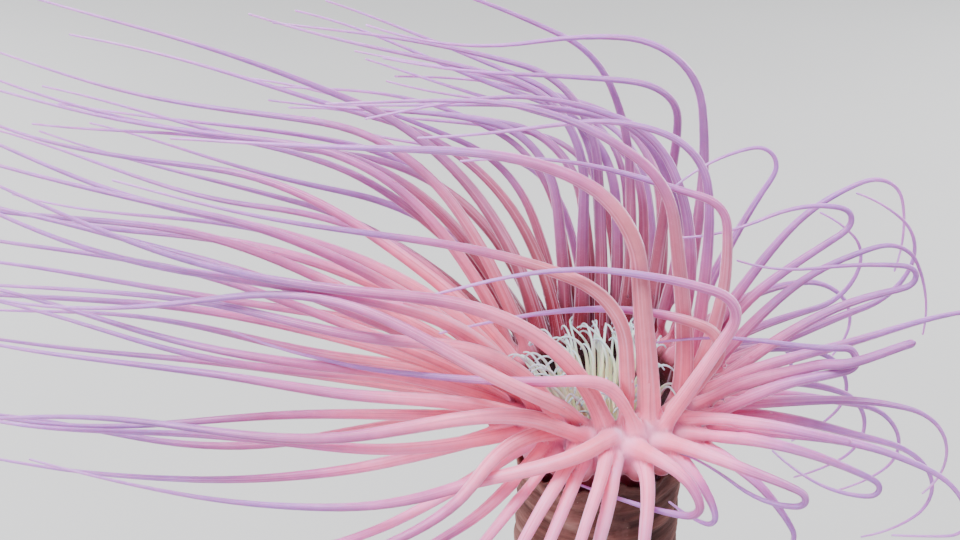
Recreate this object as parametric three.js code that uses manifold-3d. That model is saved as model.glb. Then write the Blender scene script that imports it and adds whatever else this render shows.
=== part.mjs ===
// Tube-dwelling sea anemone (Cerianthus type), life size, as a still display model.
// The animal stands upright in its own parchment tube, on a plain round base, with its crown
// streaming in a current that runs towards -X.
// Frame: millimetres, +Z up, +X upstream, +Y away from the viewer; the origin is the centre of
// the underside of the base.
import * as THREE from "three";
import { mergeVertices } from "three/addons/utils/BufferGeometryUtils.js";
import Module from "manifold-3d";

const wasm = await Module();
wasm.setup();

// Overall sizes
const GAP = 0.3; // clearance between touching pieces
const RIM_Z = 168; // height of the crown margin
const BASE_R = 55;
const BASE_H = 8;
const SOCKET_R = 17.6; // shallow recess that seats the tube's foot
const SOCKET_Z = 5;
const TUBE_FOOT_TOP = 54;
const TUBE_MIDDLE_TOP = 104;
const TUBE_TOP = 155.4;
const COLUMN_FOOT_TOP = 64;
const COLUMN_TRUNK_TOP = 118;
const FLATS = 12; // flats round the tube and the column
const DISC_R = 15.3;
const MOUTH_R = 1.1;

// Crown of marginal tentacles: sectors round the margin, cycles from the innermost out
const SECTORS = 24;
const CYCLES = 4;
const RING_R = [17.6, 19.6, 21.4, 22.8]; // where each cycle is rooted
const RING_LIFT = [1, 0.6, -0.6, -2.2]; // height of each root over the rim
const STAGGER = [-0.1, 0.1, -0.1, 0.1]; // sideways place of each cycle, in sectors
const FAR_SECTORS = [4, 8]; // where the cycles stand further apart, so that the fence is close
const FAR_STAGGER = 2; // how many times further
const DOWNSTREAM = 178; // bearing the current runs to, degrees from +X towards +Y
const DIVIDED_LENGTH = 100; // inner tentacles longer than this come in two lengths
const TIP_R = 0.36;
const TAPER = 1.15;
const SIDES = [5, 4, 4, 4]; // flats round a tentacle, by cycle
const REACH = [1.22, 1.33, 1.33, 1.33]; // half the clear width over the radius, by cycle

// Crown of labial tentacles round the mouth
const LABIAL_WEDGES = 6;
const LABIAL_ROWS = [
  { r: 5.4, places: [0], length: 16, climb: 88 },
  { r: 7, places: [-0.3, 0.28], length: 17, climb: 82 },
  { r: 8.8, places: [-0.36, -0.02, 0.36], length: 16, climb: 74 },
];
const LABIAL_R = 0.72;
const LABIAL_LIFT = -3.4; // height of the roots over the rim
const LABIAL_SIDES = 4;

// Routes: fine steps along a tentacle, and the clearing of one from another
const STEPS = 96;
const BEND_PER_SPAN = 0.94; // radians of bend, with a little for length, in one straight span
const MOST_SPANS = 7;
const ROUNDS = 240;

// Tentacles with a pose of their own: sector, cycle, length, root radius, then
// [share of the length, bearing, climb] in degrees, and the tip radius where the tip is blunt.
// The others follow drift() below.
const POSED = [
  // near side, over the mouth and away downstream
  [18, 0, 148, 2, [
    [0, 235, 74], [0.1, 192, 56], [0.22, 182, 32], [0.36, 180, 12], [0.6, 180, 14], [1, 178, 28],
  ]],
  [19, 1, 88, 1.7, [[0, 200, 80], [0.1, 190, 60], [0.25, 182, 6], [0.7, 180, 4], [1, 178, 20]]],
  [19, 0, 126, 1.9, [[0, 150, 88], [0.15, 170, 84], [0.3, 180, 18], [1, 178, 9]]],
  [20, 0, 134, 2.6, [[0, 0, 94], [0.28, 0, 101], [0.43, 0, 154], [0.62, 0, 171], [1, 0, 182]]],
  [18, 1, 118, 1.9, [
    [0, 235, 40], [0.08, 205, 4], [0.3, 185, -22], [0.5, 182, -2], [0.75, 180, 12], [1, 178, 16],
  ]],
  [17, 1, 140, 1.9, [[0, 215, 30], [0.08, 192, 12], [0.3, 182, 2], [0.6, 180, -1], [1, 180, 3]]],
  [20, 1, 98, 1.8, [[0, -20, 62], [0.28, 0, 60], [0.38, 0, 165], [0.6, 0, 182], [1, 0, 192]]],
  [21, 0, 78, 1.8, [[0, -10, 60], [0.22, 0, 55], [0.32, 0, 165], [0.6, 0, 182], [1, 0, 194]]],
  // upstream far side, tall and swinging over
  [22, 0, 118, 2.2, [
    [0, 0, 84], [0.22, 0, 97], [0.36, 0, 102], [0.5, 0, 150], [0.75, 0, 172], [1, 0, 178],
  ]],
  [23, 0, 96, 1.9, [[0, 0, 70], [0.26, 0, 80], [0.42, 0, 94], [0.5, 0, 165], [1, 0, 180]]],
  [0, 0, 108, 1.8, [[0, 0, 80], [0.3, 0, 94], [0.42, 0, 102], [0.55, 0, 155], [0.72, 0, 180], [1, 0, 186]]],
  [2, 1, 112, 1.8, [[0, 0, 80], [0.3, 0, 98], [0.42, 0, 118], [0.54, 0, 165], [0.78, 0, 182], [1, 0, 186]]],
  [3, 1, 116, 1.8, [
    [0, 0, 78], [0.26, 0, 93], [0.4, 0, 120], [0.52, 0, 168], [0.75, 0, 180], [1, 0, 176],
  ]],
  [3, 0, 132, 1.8, [[0, 0, 68], [0.3, 0, 92], [0.44, 0, 100], [0.62, 0, 172], [0.75, 0, 186], [1, 0, 165]]],
  [4, 0, 118, 1.8, [[0, 0, 76], [0.36, 0, 88], [0.45, 0, 102], [0.58, 0, 170], [0.8, 0, 180], [1, 0, 172]]],
  [5, 0, 120, 1.7, [[0, 0, 86], [0.35, 0, 92], [0.5, 0, 115], [0.62, 0, 158], [1, 0, 160]]],
  // upstream, reaching out and hooked by the current
  [2, 0, 74, 1.7, [[0, 10, 76], [0.35, 10, 64], [0.62, 10, 54], [0.76, 10, 190], [1, 10, 222]]],
  [1, 0, 84, 1.7, [[0, 15, 58], [0.45, 15, 48], [0.66, 15, 24], [0.8, 15, -75], [1, 15, -110]]],
  [1, 1, 88, 1.6, [
    [0, 10, 62], [0.3, 10, 38], [0.5, 10, 35], [0.58, 10, 165], [0.78, 10, 200], [1, 10, 172],
  ]],
  [0, 1, 76, 1.6, [[0, 8, 52], [0.4, 8, 38], [0.62, 8, 22], [0.76, 8, -60], [1, 8, -100]]],
  [0, 2, 90, 1.6, [[0, 5, 42], [0.3, 5, 30], [0.52, 5, 16], [0.6, 5, 172], [0.8, 5, 180], [1, 5, 155]]],
  [23, 1, 80, 1.7, [[0, 0, 35], [0.4, 0, 18], [0.75, 0, 4], [1, 0, -50]]],
  [22, 1, 46, 1.8, [[0, -10, 36], [0.4, -8, 25], [1, -5, 14]], 0.9],
  [22, 2, 76, 1.7, [[0, -5, 34], [0.35, -5, 14], [0.42, -5, 8], [0.5, -5, 175], [1, -5, 188]]],
  [23, 2, 66, 1.7, [[0, -10, 14], [0.4, -10, 4], [0.62, -10, -10], [0.8, -10, -70], [1, -10, -130]]],
  [22, 3, 76, 1.7, [
    [0, -25, 14], [0.3, -20, -2], [0.6, -15, -16], [0.78, -15, -75], [0.86, -15, -170], [1, -15, -178],
  ]],
  [21, 1, 34, 1.9, [[0, -30, 28], [0.3, -20, 4], [1, -15, -4]], 0.9],
  [21, 2, 66, 1.8, [
    [0, -25, 14], [0.35, -18, -8], [0.6, -15, -20], [0.68, -15, -170], [0.85, -15, -205],
    [1, -15, -225],
  ]],
  [21, 3, 46, 1.7, [[0, -40, 0], [0.35, -30, -28], [0.6, -28, -60], [0.72, -28, -150], [1, -25, -190]]],
  [20, 2, 60, 1.8, [
    [0, -40, 16], [0.25, -25, -8], [0.5, -20, -26], [0.58, -20, -170], [0.8, -20, -205], [1, -20, -185],
  ]],
  [20, 3, 30, 1.8, [[0, -50, 4], [0.3, -42, -45], [0.55, -40, -75], [0.7, -40, -165], [1, -40, -200]]],
  [19, 2, 48, 1.8, [
    [0, -60, 20], [0.2, -35, -20], [0.4, -25, -70], [0.5, -25, -170], [0.75, -25, -195], [1, -25, -202],
  ]],
];

const radians = THREE.MathUtils.degToRad;
const mix = THREE.MathUtils.lerp;
const clamp = THREE.MathUtils.clamp;

// The same scatter at every run: a number from 0 to 1 for tentacle n, trait k.
function noise(n, k) {
  const x = Math.sin(n * 12.9898 + k * 78.233) * 43758.5453;
  return x - Math.floor(x);
}

function signed(n, k) {
  return 2 * noise(n, k) - 1;
}

function heading(bearing, climb) {
  const a = radians(bearing);
  const e = radians(climb);
  return new THREE.Vector3(Math.cos(e) * Math.cos(a), Math.cos(e) * Math.sin(a), Math.sin(e));
}

// Bearing of a root, in degrees.
function bearingOf(sector, cycle) {
  const far = sector >= FAR_SECTORS[0] && sector <= FAR_SECTORS[1];
  return ((sector + STAGGER[cycle] * (far ? FAR_STAGGER : 1)) * 360) / SECTORS;
}

// Length, root radius and turns of a tentacle that simply goes with the current.
function drift(sector, cycle) {
  const n = sector * CYCLES + cycle;
  const at = bearingOf(sector, cycle);
  const down = DOWNSTREAM + 5 * signed(n, 5);
  const size = signed(n, 1);
  const sway = signed(n, 3);
  const pick = noise(n, 4);
  const lift = signed(n, 6);
  const radius = 1.75 + 0.2 * signed(n, 2) - 0.08 * cycle;
  if (sector <= 3 || sector >= 21) {
    // facing the current: out, then the tip is blown back
    const out = at < 180 ? at : at - 360;
    const climb = [66, 48, 24, -2][cycle] + 7 * sway;
    const over = pick > 0.45 && cycle < 3 ? 1 : -1;
    const turns = [
      [0, out, climb],
      [0.5, 0.5 * out, climb - 14],
      [0.68, 0.4 * out, climb - 14 + over * 60],
      [0.84, 0.3 * out, climb - 14 + over * 130],
      [1, 0.3 * out, climb - 14 + over * 150],
    ];
    return { length: 84 - 6 * cycle + 8 * size, radius, turns };
  }
  if (sector <= 7) {
    // far side: a tall fence that leans over at its top
    const climb = [88, 82, 74, 64][cycle] + 5 * sway;
    const bend = 0.34 + 0.1 * pick;
    const turns = [
      [0, at, climb],
      [bend - 0.1, mix(at, 180, 0.35), climb - 5],
      [bend + 0.14, mix(at, down, 0.9), 16 + 8 * sway],
      [1, down, 8 + 8 * lift],
    ];
    return { length: 112 - 4 * cycle + 10 * size, radius, turns };
  }
  if (sector <= 10) {
    // far lee quarter: leaning over from the root
    const climb = [74, 64, 54, 42][cycle] + 6 * sway;
    const turns = [
      [0, at, climb],
      [0.24, mix(at, down, 0.6), 0.72 * climb],
      [0.5, down, 14 + 6 * sway],
      [1, down, 14 + 8 * lift],
    ];
    return { length: 136 - 4 * cycle + 10 * size, radius, turns };
  }
  if (sector <= 15) {
    // lee side: streaming away, the outer cycles sagging first
    const sag = Math.max(0, sector - 12) * Math.max(0, cycle - 0.5);
    const climb = [60, 44, 28, 10][cycle] + 6 * sway - 3 * sag;
    const turns = [
      [0, at, climb],
      [0.22, mix(at, down, 0.7), 0.6 * climb - 3 * sag],
      [0.55, down, 11 - 2 * cycle + 5 * sway - 2 * sag],
      [1, down, [24, 20, 14, 8][cycle] + 7 * lift],
    ];
    return { length: 144 - 4 * cycle + 12 * size - 3 * sag, radius, turns };
  }
  // near side: the inner ones stream, the others fall over the margin and trail off
  const climb = [60, 26, 6, -14][cycle] + 6 * sway;
  if (cycle === 0) {
    const turns = [
      [0, mix(at, 180, 0.6), climb],
      [0.25, 184, 26],
      [0.6, 182, -2],
      [1, 178, 12],
    ];
    return { length: 134, radius, turns };
  }
  const fall = -10 - 9 * cycle - 14 * (sector - 16) - 8 * pick;
  const turns = [
    [0, at, climb],
    [0.22, mix(at, 180, 0.4), fall],
    [0.6, mix(at, 180, 0.75), fall + 12],
    [1, 178, 0.3 * fall + 4],
  ];
  return { length: 110 - 9 * cycle + 8 * size, radius, turns };
}

// Bearing and climb at share s of the length.
function turnAt(turns, s) {
  let k = 1;
  while (k < turns.length - 1 && s > turns[k][0]) k += 1;
  const [s0, a0, e0] = turns[k - 1];
  const [s1, a1, e1] = turns[k];
  const t = clamp((s - s0) / (s1 - s0), 0, 1);
  return [mix(a0, a1, t), mix(e0, e1, t)];
}

// The path from a root, in STEPS short steps, with a slow sway of its own.
function fineRoute(root, length, turns, n, swing) {
  const points = [root.clone()];
  const at = root.clone();
  for (let k = 0; k < STEPS; k += 1) {
    const s = (k + 0.5) / STEPS;
    const [bearing, climb] = turnAt(turns, s);
    const sway = swing * Math.min(1, s * 3);
    const a = bearing + sway * Math.sin(s * 9 + 6.28 * noise(n, 7));
    const e = climb + sway * Math.sin(s * 8 + 6.28 * noise(n, 8));
    at.addScaledVector(heading(a, e), length / STEPS);
    points.push(at.clone());
  }
  return points;
}

// Steps at which the straight spans meet: closer together where the route bends.
function spansOf(points) {
  const effort = [0];
  let before = null;
  for (let k = 1; k < points.length; k += 1) {
    const step = points[k].clone().sub(points[k - 1]);
    const size = step.length();
    step.divideScalar(size);
    const bend = before ? Math.acos(clamp(before.dot(step), -1, 1)) : 0;
    effort.push(effort[k - 1] + 0.011 * size + bend);
    before = step;
  }
  const whole = effort[effort.length - 1];
  const count = Math.min(MOST_SPANS, Math.max(4, Math.floor(whole / BEND_PER_SPAN + 0.5)));
  const marks = [0];
  for (let i = 1; i < count; i += 1) {
    const wanted = (whole * i) / count;
    let k = 0;
    while (effort[k] < wanted) k += 1;
    marks.push(Math.max(k, marks[marks.length - 1] + 1));
  }
  marks.push(points.length - 1);
  return marks;
}

// Radius at share s: a slight waist at the root, then a smooth taper.
function radiusAt(radius, tip, s) {
  const waist = 1 - 0.25 * Math.max(0, 1 - s / 0.07);
  return (tip + (radius - tip) * Math.pow(1 - s, TAPER)) * waist;
}

function marginalTentacles() {
  const rows = new Map(POSED.map((row) => [row[0] * CYCLES + row[1], row]));
  const made = [];
  for (let sector = 0; sector < SECTORS; sector += 1) {
    for (let cycle = 0; cycle < CYCLES; cycle += 1) {
      const n = sector * CYCLES + cycle;
      const row = rows.get(n);
      const { length, radius, turns } = row
        ? { length: row[2], radius: row[3], turns: row[4] }
        : drift(sector, cycle);
      const a = radians(bearingOf(sector, cycle));
      const r = RING_R[cycle];
      const root = new THREE.Vector3(r * Math.cos(a), r * Math.sin(a), RIM_Z + RING_LIFT[cycle]);
      const fine = fineRoute(root, length, turns, n, 5);
      const marks = spansOf(fine);
      const tip = row?.[5] ?? TIP_R;
      const radii = marks.map((k) => radiusAt(radius, tip, k / STEPS));
      const knots = marks.map((k) => fine[k]);
      made.push({ group: sector, cycle, length, marks, radii, grow: REACH[cycle], knots });
    }
  }
  return made;
}

// Short tentacles round the mouth: they stand up, splay with the current and hook at the tip.
function labialTentacles() {
  const made = [];
  for (let wedge = 0; wedge < LABIAL_WEDGES; wedge += 1) {
    LABIAL_ROWS.forEach((row, rank) => {
      row.places.forEach((place, i) => {
        const n = 200 + wedge * 10 + rank * 3 + i;
        const at = ((wedge + 0.5 + place) * 360) / LABIAL_WEDGES + 4 * signed(n, 1);
        const lean = mix(at, 180, 0.35) + 45 * signed(n, 2);
        const turns = [
          [0, at, row.climb],
          [0.5, lean, row.climb - 14 + 8 * signed(n, 3)],
          [0.78, lean, 36 + 16 * signed(n, 4)],
          [1, lean, -70 + 25 * signed(n, 5)],
        ];
        const length = row.length + 2 * signed(n, 6);
        const a = radians(at);
        const root = new THREE.Vector3(row.r * Math.cos(a), row.r * Math.sin(a), RIM_Z + LABIAL_LIFT);
        const fine = fineRoute(root, length, turns, n, 6);
        const marks = [0, 42, 76, STEPS];
        const radii = marks.map((k) => mix(LABIAL_R, 0.34, k / STEPS));
        const knots = marks.map((k) => fine[k]);
        made.push({ group: 100 + wedge, cycle: 0, length, marks, radii, grow: 1.3, knots });
      });
    });
  }
  return made;
}

// Closest places on two straight spans, as shares of each, and the distance between them.
function closest(p1, q1, p2, q2) {
  const d1 = q1.clone().sub(p1);
  const d2 = q2.clone().sub(p2);
  const r = p1.clone().sub(p2);
  const a = d1.dot(d1);
  const e = d2.dot(d2);
  const f = d2.dot(r);
  const c = d1.dot(r);
  const b = d1.dot(d2);
  const spread = a * e - b * b;
  let s = spread > 1e-9 ? clamp((b * f - c * e) / spread, 0, 1) : 0.5;
  const t = clamp((b * s + f) / e, 0, 1);
  s = clamp((b * t - c) / a, 0, 1);
  const between = p1.clone().addScaledVector(d1, s).sub(p2.clone().addScaledVector(d2, t));
  return { s, t, between, distance: between.length() };
}

// Moves the spans apart until no two tentacles touch, and none touches the tube or the margin.
function separate(tentacles) {
  const joints = [];
  const spans = [];
  const fixed = (x, y, z, radius) => {
    joints.push({ p: new THREE.Vector3(x, y, z), radius, freedom: 0 });
  };
  fixed(0, 0, 0, 19.5);
  fixed(0, 0, 142, 19.5);
  spans.push({ a: 0, b: 1, owner: -1, group: -1, hoop: false, first: false });
  for (let sector = 0; sector < SECTORS; sector += 1) {
    for (const side of [-0.5, 0.5]) {
      const a = radians(((sector + side) * 360) / SECTORS);
      fixed(20 * Math.cos(a), 20 * Math.sin(a), RIM_Z - 4.2, 4.5);
    }
    const b = joints.length - 1;
    spans.push({ a: b - 1, b, owner: -2 - sector, group: sector, hoop: true, first: false });
  }
  tentacles.forEach((tentacle, owner) => {
    tentacle.knots.forEach((p, j) => {
      const s = tentacle.marks[j] / STEPS;
      const radius = tentacle.radii[j] * tentacle.grow + GAP / 2;
      joints.push({ p: p.clone(), radius, freedom: clamp(s / 0.08, 0, 1) });
      if (j > 0) {
        const b = joints.length - 1;
        spans.push({ a: b - 1, b, owner, group: tentacle.group, hoop: false, first: j === 1 });
      }
    });
    tentacle.end = joints.length;
  });
  const nextTo = (g, h) => [0, 1, SECTORS - 1].includes(Math.abs(g - h));
  const joined = (x, y) => {
    if (x.owner === y.owner || (x.owner < 0 && y.owner < 0)) return true;
    if (x.hoop || y.hoop) return (x.first || y.first) && nextTo(x.group, y.group);
    return x.group === y.group && (x.first || y.first);
  };
  let near = [];
  for (let round = 0; round < ROUNDS; round += 1) {
    if (round % 10 === 0) {
      near = [];
      const middles = spans.map((x) => joints[x.a].p.clone().lerp(joints[x.b].p, 0.5));
      const halves = spans.map((x) => joints[x.a].p.distanceTo(joints[x.b].p) / 2);
      spans.forEach((x, i) => {
        for (let j = i + 1; j < spans.length; j += 1) {
          const y = spans[j];
          const reach = halves[i] + halves[j] + joints[x.a].radius + joints[y.a].radius + 6;
          if (middles[i].distanceTo(middles[j]) < reach && !joined(x, y)) near.push([x, y]);
        }
      });
    }
    const moves = joints.map(() => ({ by: new THREE.Vector3(), count: 0 }));
    const push = (joint, between, size, share) => {
      moves[joint].by.addScaledVector(between, size * share);
      moves[joint].count += share;
    };
    let touching = 0;
    for (const [x, y] of near) {
      const [a, b, c, d] = [joints[x.a], joints[x.b], joints[y.a], joints[y.b]];
      const { s, t, between, distance } = closest(a.p, b.p, c.p, d.p);
      const need = mix(a.radius, b.radius, s) + mix(c.radius, d.radius, t);
      if (distance >= need) continue;
      touching += 1;
      between.divideScalar(Math.max(distance, 1e-6));
      const size = (need - distance) * 0.5;
      push(x.a, between, size, 1 - s);
      push(x.b, between, size, s);
      push(y.a, between, -size, 1 - t);
      push(y.b, between, -size, t);
    }
    if (touching === 0) break;
    joints.forEach((joint, i) => {
      const { by, count } = moves[i];
      joint.p.addScaledVector(by, (1.4 * joint.freedom) / Math.max(count, 1));
    });
  }
  for (const tentacle of tentacles) {
    const own = joints.slice(tentacle.end - tentacle.knots.length, tentacle.end);
    tentacle.knots = own.map((joint) => joint.p);
  }
}

// A path whose frames carry the radius at each point, so that an extruded section tapers.
class TaperedPath extends THREE.Curve {
  constructor(points, normals, binormals) {
    super();
    this.rings = { points, normals, binormals };
  }

  getSpacedPoints() {
    return this.rings.points;
  }

  computeFrenetFrames() {
    return this.rings;
  }
}

// Centres and scaled frames of the sections along a run of knots, without twist.
function ringsAlong(knots, radii) {
  const last = knots.length - 1;
  const spans = knots.slice(1).map((p, k) => p.clone().sub(knots[k]).normalize());
  const tangents = knots.map((p, k) => {
    const ahead = spans[Math.min(k, last - 1)];
    const behind = spans[Math.max(k - 1, 0)];
    return ahead.clone().add(behind).normalize();
  });
  let side = new THREE.Vector3(0, 0, 1).cross(tangents[0]);
  if (side.length() < 0.1) side = new THREE.Vector3(1, 0, 0).cross(tangents[0]);
  const normals = [];
  const binormals = [];
  tangents.forEach((tangent, k) => {
    side.addScaledVector(tangent, -side.dot(tangent)).normalize();
    normals.push(side.clone().multiplyScalar(radii[k]));
    binormals.push(tangent.clone().cross(side).multiplyScalar(radii[k]));
  });
  return { points: knots, normals, binormals };
}

// A regular section with the area of a unit circle.
function roundSection(sides) {
  const reach = Math.sqrt((2 * Math.PI) / (sides * Math.sin((2 * Math.PI) / sides)));
  const corners = [];
  for (let i = 0; i < sides; i += 1) {
    const a = (2 * Math.PI * i) / sides;
    corners.push(new THREE.Vector2(reach * Math.cos(a), reach * Math.sin(a)));
  }
  return new THREE.Shape(corners);
}

function limbGeometry({ points, normals, binormals }, sides) {
  return new THREE.ExtrudeGeometry(roundSection(sides), {
    steps: points.length - 1,
    bevelEnabled: false,
    extrudePath: new TaperedPath(points, normals, binormals),
  });
}

function solidOf(geometry) {
  const bare = geometry.clone();
  bare.deleteAttribute("normal");
  bare.deleteAttribute("uv");
  const merged = mergeVertices(bare, 1e-4);
  const vertProperties = merged.attributes.position.array;
  const triVerts = new Uint32Array(merged.index.array);
  return new wasm.Manifold(new wasm.Mesh({ numProp: 3, vertProperties, triVerts }));
}

function geometryOf(solid) {
  const { numProp, vertProperties, triVerts } = solid.getMesh();
  const position = new Float32Array((vertProperties.length / numProp) * 3);
  for (let i = 0; i < position.length / 3; i += 1) {
    position.set(vertProperties.subarray(i * numProp, i * numProp + 3), i * 3);
  }
  const geometry = new THREE.BufferGeometry();
  geometry.setAttribute("position", new THREE.BufferAttribute(position, 3));
  geometry.setIndex(new THREE.BufferAttribute(new Uint32Array(triVerts), 1));
  geometry.computeVertexNormals();
  return geometry;
}

// A closed solid of revolution: the profile runs bottom, outside, top, inside.
function turned(profile, sides) {
  const outline = profile.map(([r, z]) => new THREE.Vector2(r, z));
  return new THREE.LatheGeometry(outline, sides, Math.PI / sides).rotateX(Math.PI / 2);
}

function turnedRing(profile, sides) {
  return turned([...profile, profile[0]], sides);
}

// A cell of a ring: the radius-height profile spread over one pitch, less the gap on each side.
function wedgeGeometry(profile, bearing, pitch, gap) {
  const shape = new THREE.Shape(profile.map(([r, z]) => new THREE.Vector2(r, z)));
  const geometry = new THREE.ExtrudeGeometry(shape, { depth: 1, steps: 1, bevelEnabled: false });
  const position = geometry.attributes.position;
  for (let i = 0; i < position.count; i += 1) {
    const r = position.getX(i);
    const a = bearing + (0.5 - position.getZ(i)) * (pitch - gap / r);
    position.setXYZ(i, r * Math.cos(a), r * Math.sin(a), position.getY(i));
  }
  return geometry;
}

// Profiles, as radius and height
const MARGIN_PROFILE = [
  [15.6, -8.5], [18.5, -8.5], [24.2, -4.4], [24, -2], [20.4, 0.8], [15.6, -0.6],
].map(([r, z]) => [r, RIM_Z + z]);
const MARGIN_CLEARANCE = [
  [0, -12], [18.7, -12], [24.6, -4.6], [24.4, -1.8], [20.5, 1.2], [0, 1.2],
].map(([r, z]) => [r, RIM_Z + z]);
const CELL_PROFILE = [[15.4, -13], [28, -13], [28, 3], [15.4, 3]].map(([r, z]) => [r, RIM_Z + z]);
const LABIAL_PROFILE = [[3.8, -4.3], [10.3, -4.3], [10.1, -3.2], [4, -3]].map(
  ([r, z]) => [r, RIM_Z + z],
);
const DISC_PROFILE = [
  [MOUTH_R, -8.5], [DISC_R, -8.5], [DISC_R, -0.9], [12.4, -4.6], [3.6, -4.8], [MOUTH_R, -4.8],
].map(([r, z]) => [r, RIM_Z + z]);
const LIPS_PROFILE = [[1.2, -4.3], [3.4, -4.3], [3.3, -3], [2.3, -2.2], [1.3, -3]].map(
  ([r, z]) => [r, RIM_Z + z],
);
const COLLAR_PROFILE = [
  [0, COLUMN_TRUNK_TOP + GAP], [15.1, COLUMN_TRUNK_TOP + GAP], [15.2, 149], [15.7, 154],
  [18.2, 159.2], [0, 159.2],
];
const TRUNK_PROFILE = [
  [0, COLUMN_FOOT_TOP + GAP], [15, COLUMN_FOOT_TOP + GAP], [15.2, 92],
  [15.1, COLUMN_TRUNK_TOP], [0, COLUMN_TRUNK_TOP],
];
const FOOT_PROFILE = [
  [0, SOCKET_Z + GAP], [5, SOCKET_Z + GAP], [10.5, 10], [13.8, 22],
  [15, COLUMN_FOOT_TOP], [0, COLUMN_FOOT_TOP],
];
const TUBE_FOOT_PROFILE = [
  [15.6, SOCKET_Z + GAP], [16.9, SOCKET_Z + GAP], [17.6, 34], [17.3, TUBE_FOOT_TOP], [15.6, TUBE_FOOT_TOP],
];
const TUBE_MIDDLE_PROFILE = [
  [15.6, TUBE_FOOT_TOP + GAP], [17.3, TUBE_FOOT_TOP + GAP], [17.9, 78], [17.2, TUBE_MIDDLE_TOP],
  [15.6, TUBE_MIDDLE_TOP],
];
const TUBE_MOUTH_PROFILE = [
  [15.6, TUBE_MIDDLE_TOP + GAP], [17.2, TUBE_MIDDLE_TOP + GAP], [17.8, 128], [17.4, 147], [18.6, TUBE_TOP],
  [17.3, TUBE_TOP], [15.9, 148],
];
const BASE_PROFILE = [
  [0, 0], [BASE_R, 0], [BASE_R, BASE_H - 1.5], [BASE_R - 1.5, BASE_H],
  [SOCKET_R, BASE_H], [SOCKET_R, SOCKET_Z], [0, SOCKET_Z],
];

// Surfaces
const finish = (color, roughness) => new THREE.MeshStandardMaterial({ color, roughness, metalness: 0 });
const FLESH = finish(0xd493a4, 0.38);
const FLESH_OUTER = finish(0xb79ad0, 0.38);
const LABIAL = finish(0xc9d8d2, 0.35);
const DISC = finish(0x3a1420, 0.4);
const COLUMN = finish(0x6e2836, 0.45);
const PARCHMENT = finish(0x5b4234, 0.85);
const STAND = finish(0xd9d6cf, 0.55);

const anemone = new THREE.Group();

function place(name, geometry, material, parent = anemone) {
  const mesh = new THREE.Mesh(geometry, material);
  mesh.name = name;
  parent.add(mesh);
}

// Stand and tube
place("stand_base", turned(BASE_PROFILE, 22), STAND);
const tube = new THREE.Group();
anemone.add(tube);
place("tube_foot", turnedRing(TUBE_FOOT_PROFILE, FLATS), PARCHMENT, tube);
place("tube_middle", turnedRing(TUBE_MIDDLE_PROFILE, FLATS), PARCHMENT, tube);
place("tube_mouth", turnedRing(TUBE_MOUTH_PROFILE, FLATS), PARCHMENT, tube);

// Column, oral disc and lips
const body = new THREE.Group();
anemone.add(body);
place("column_foot", turned(FOOT_PROFILE, FLATS), COLUMN, body);
place("column_trunk", turned(TRUNK_PROFILE, FLATS), COLUMN, body);
place("column_collar", turned(COLLAR_PROFILE, FLATS), COLUMN, body);
place("oral_disc", turnedRing(DISC_PROFILE, FLATS), DISC, body);
place("mouth_lips", turnedRing(LIPS_PROFILE, 8), LABIAL, body);

// Tentacles
const marginals = marginalTentacles();
const labials = labialTentacles();
separate([...marginals, ...labials]);

// The root of a limb, set a little way back so that it is buried in what it grows from.
function rooted(rings, depth) {
  const back = rings.points[1].clone().sub(rings.points[0]).setLength(-depth);
  return {
    points: [rings.points[0].clone().add(back), ...rings.points.slice(1)],
    normals: rings.normals,
    binormals: rings.binormals,
  };
}

function run(rings, from, to) {
  return {
    points: rings.points.slice(from, to + 1),
    normals: rings.normals.slice(from, to + 1),
    binormals: rings.binormals.slice(from, to + 1),
  };
}

// The largest piece of a solid: chips left by a cut and sealed pockets between roots are dropped.
function mainPiece(solid) {
  return solid.decompose().sort((a, b) => b.volume() - a.volume())[0];
}

const crown = new THREE.Group();
anemone.add(crown);
const pitch = (2 * Math.PI) / SECTORS;
const clearance = solidOf(turned(MARGIN_CLEARANCE, SECTORS));
for (let sector = 0; sector < SECTORS; sector += 1) {
  const number = String(sector + 1).padStart(2, "0");
  const cell = solidOf(wedgeGeometry(CELL_PROFILE, sector * pitch, pitch, GAP));
  const others = clearance.subtract(cell);
  let solid = solidOf(wedgeGeometry(MARGIN_PROFILE, sector * pitch, pitch, GAP));
  for (const tentacle of marginals.filter((one) => one.group === sector)) {
    const rings = ringsAlong(tentacle.knots, tentacle.radii);
    const last = rings.points.length - 1;
    let inner = rings;
    if (tentacle.cycle === 0 && tentacle.length > DIVIDED_LENGTH) {
      const cut = Math.ceil(last / 2);
      inner = run(rings, 0, cut);
      const outer = run(rings, cut, last);
      const onward = outer.points[1].clone().sub(outer.points[0]).setLength(GAP);
      outer.points[0] = outer.points[0].clone().add(onward);
      place("tentacle_" + number + "_outer", limbGeometry(outer, SIDES[0]), FLESH_OUTER, crown);
    }
    const limb = solidOf(limbGeometry(rooted(inner, 2.5), SIDES[tentacle.cycle]));
    solid = solid.add(mainPiece(limb.subtract(others)));
  }
  place("crown_sector_" + number, geometryOf(mainPiece(solid)), FLESH, crown);
}

const mouthCrown = new THREE.Group();
anemone.add(mouthCrown);
const labialPitch = (2 * Math.PI) / LABIAL_WEDGES;
for (let wedge = 0; wedge < LABIAL_WEDGES; wedge += 1) {
  const bearing = (wedge + 0.5) * labialPitch;
  let solid = solidOf(wedgeGeometry(LABIAL_PROFILE, bearing, labialPitch, GAP));
  for (const tentacle of labials.filter((one) => one.group === 100 + wedge)) {
    solid = solid.add(solidOf(limbGeometry(ringsAlong(tentacle.knots, tentacle.radii), LABIAL_SIDES)));
  }
  place("labial_tentacles_" + (wedge + 1), geometryOf(solid), LABIAL, mouthCrown);
}

export default anemone;
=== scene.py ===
"""Tube anemone, life size: one skin for the flesh, a parchment tube and a plain stand."""

import math
from itertools import combinations
from types import SimpleNamespace

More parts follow.
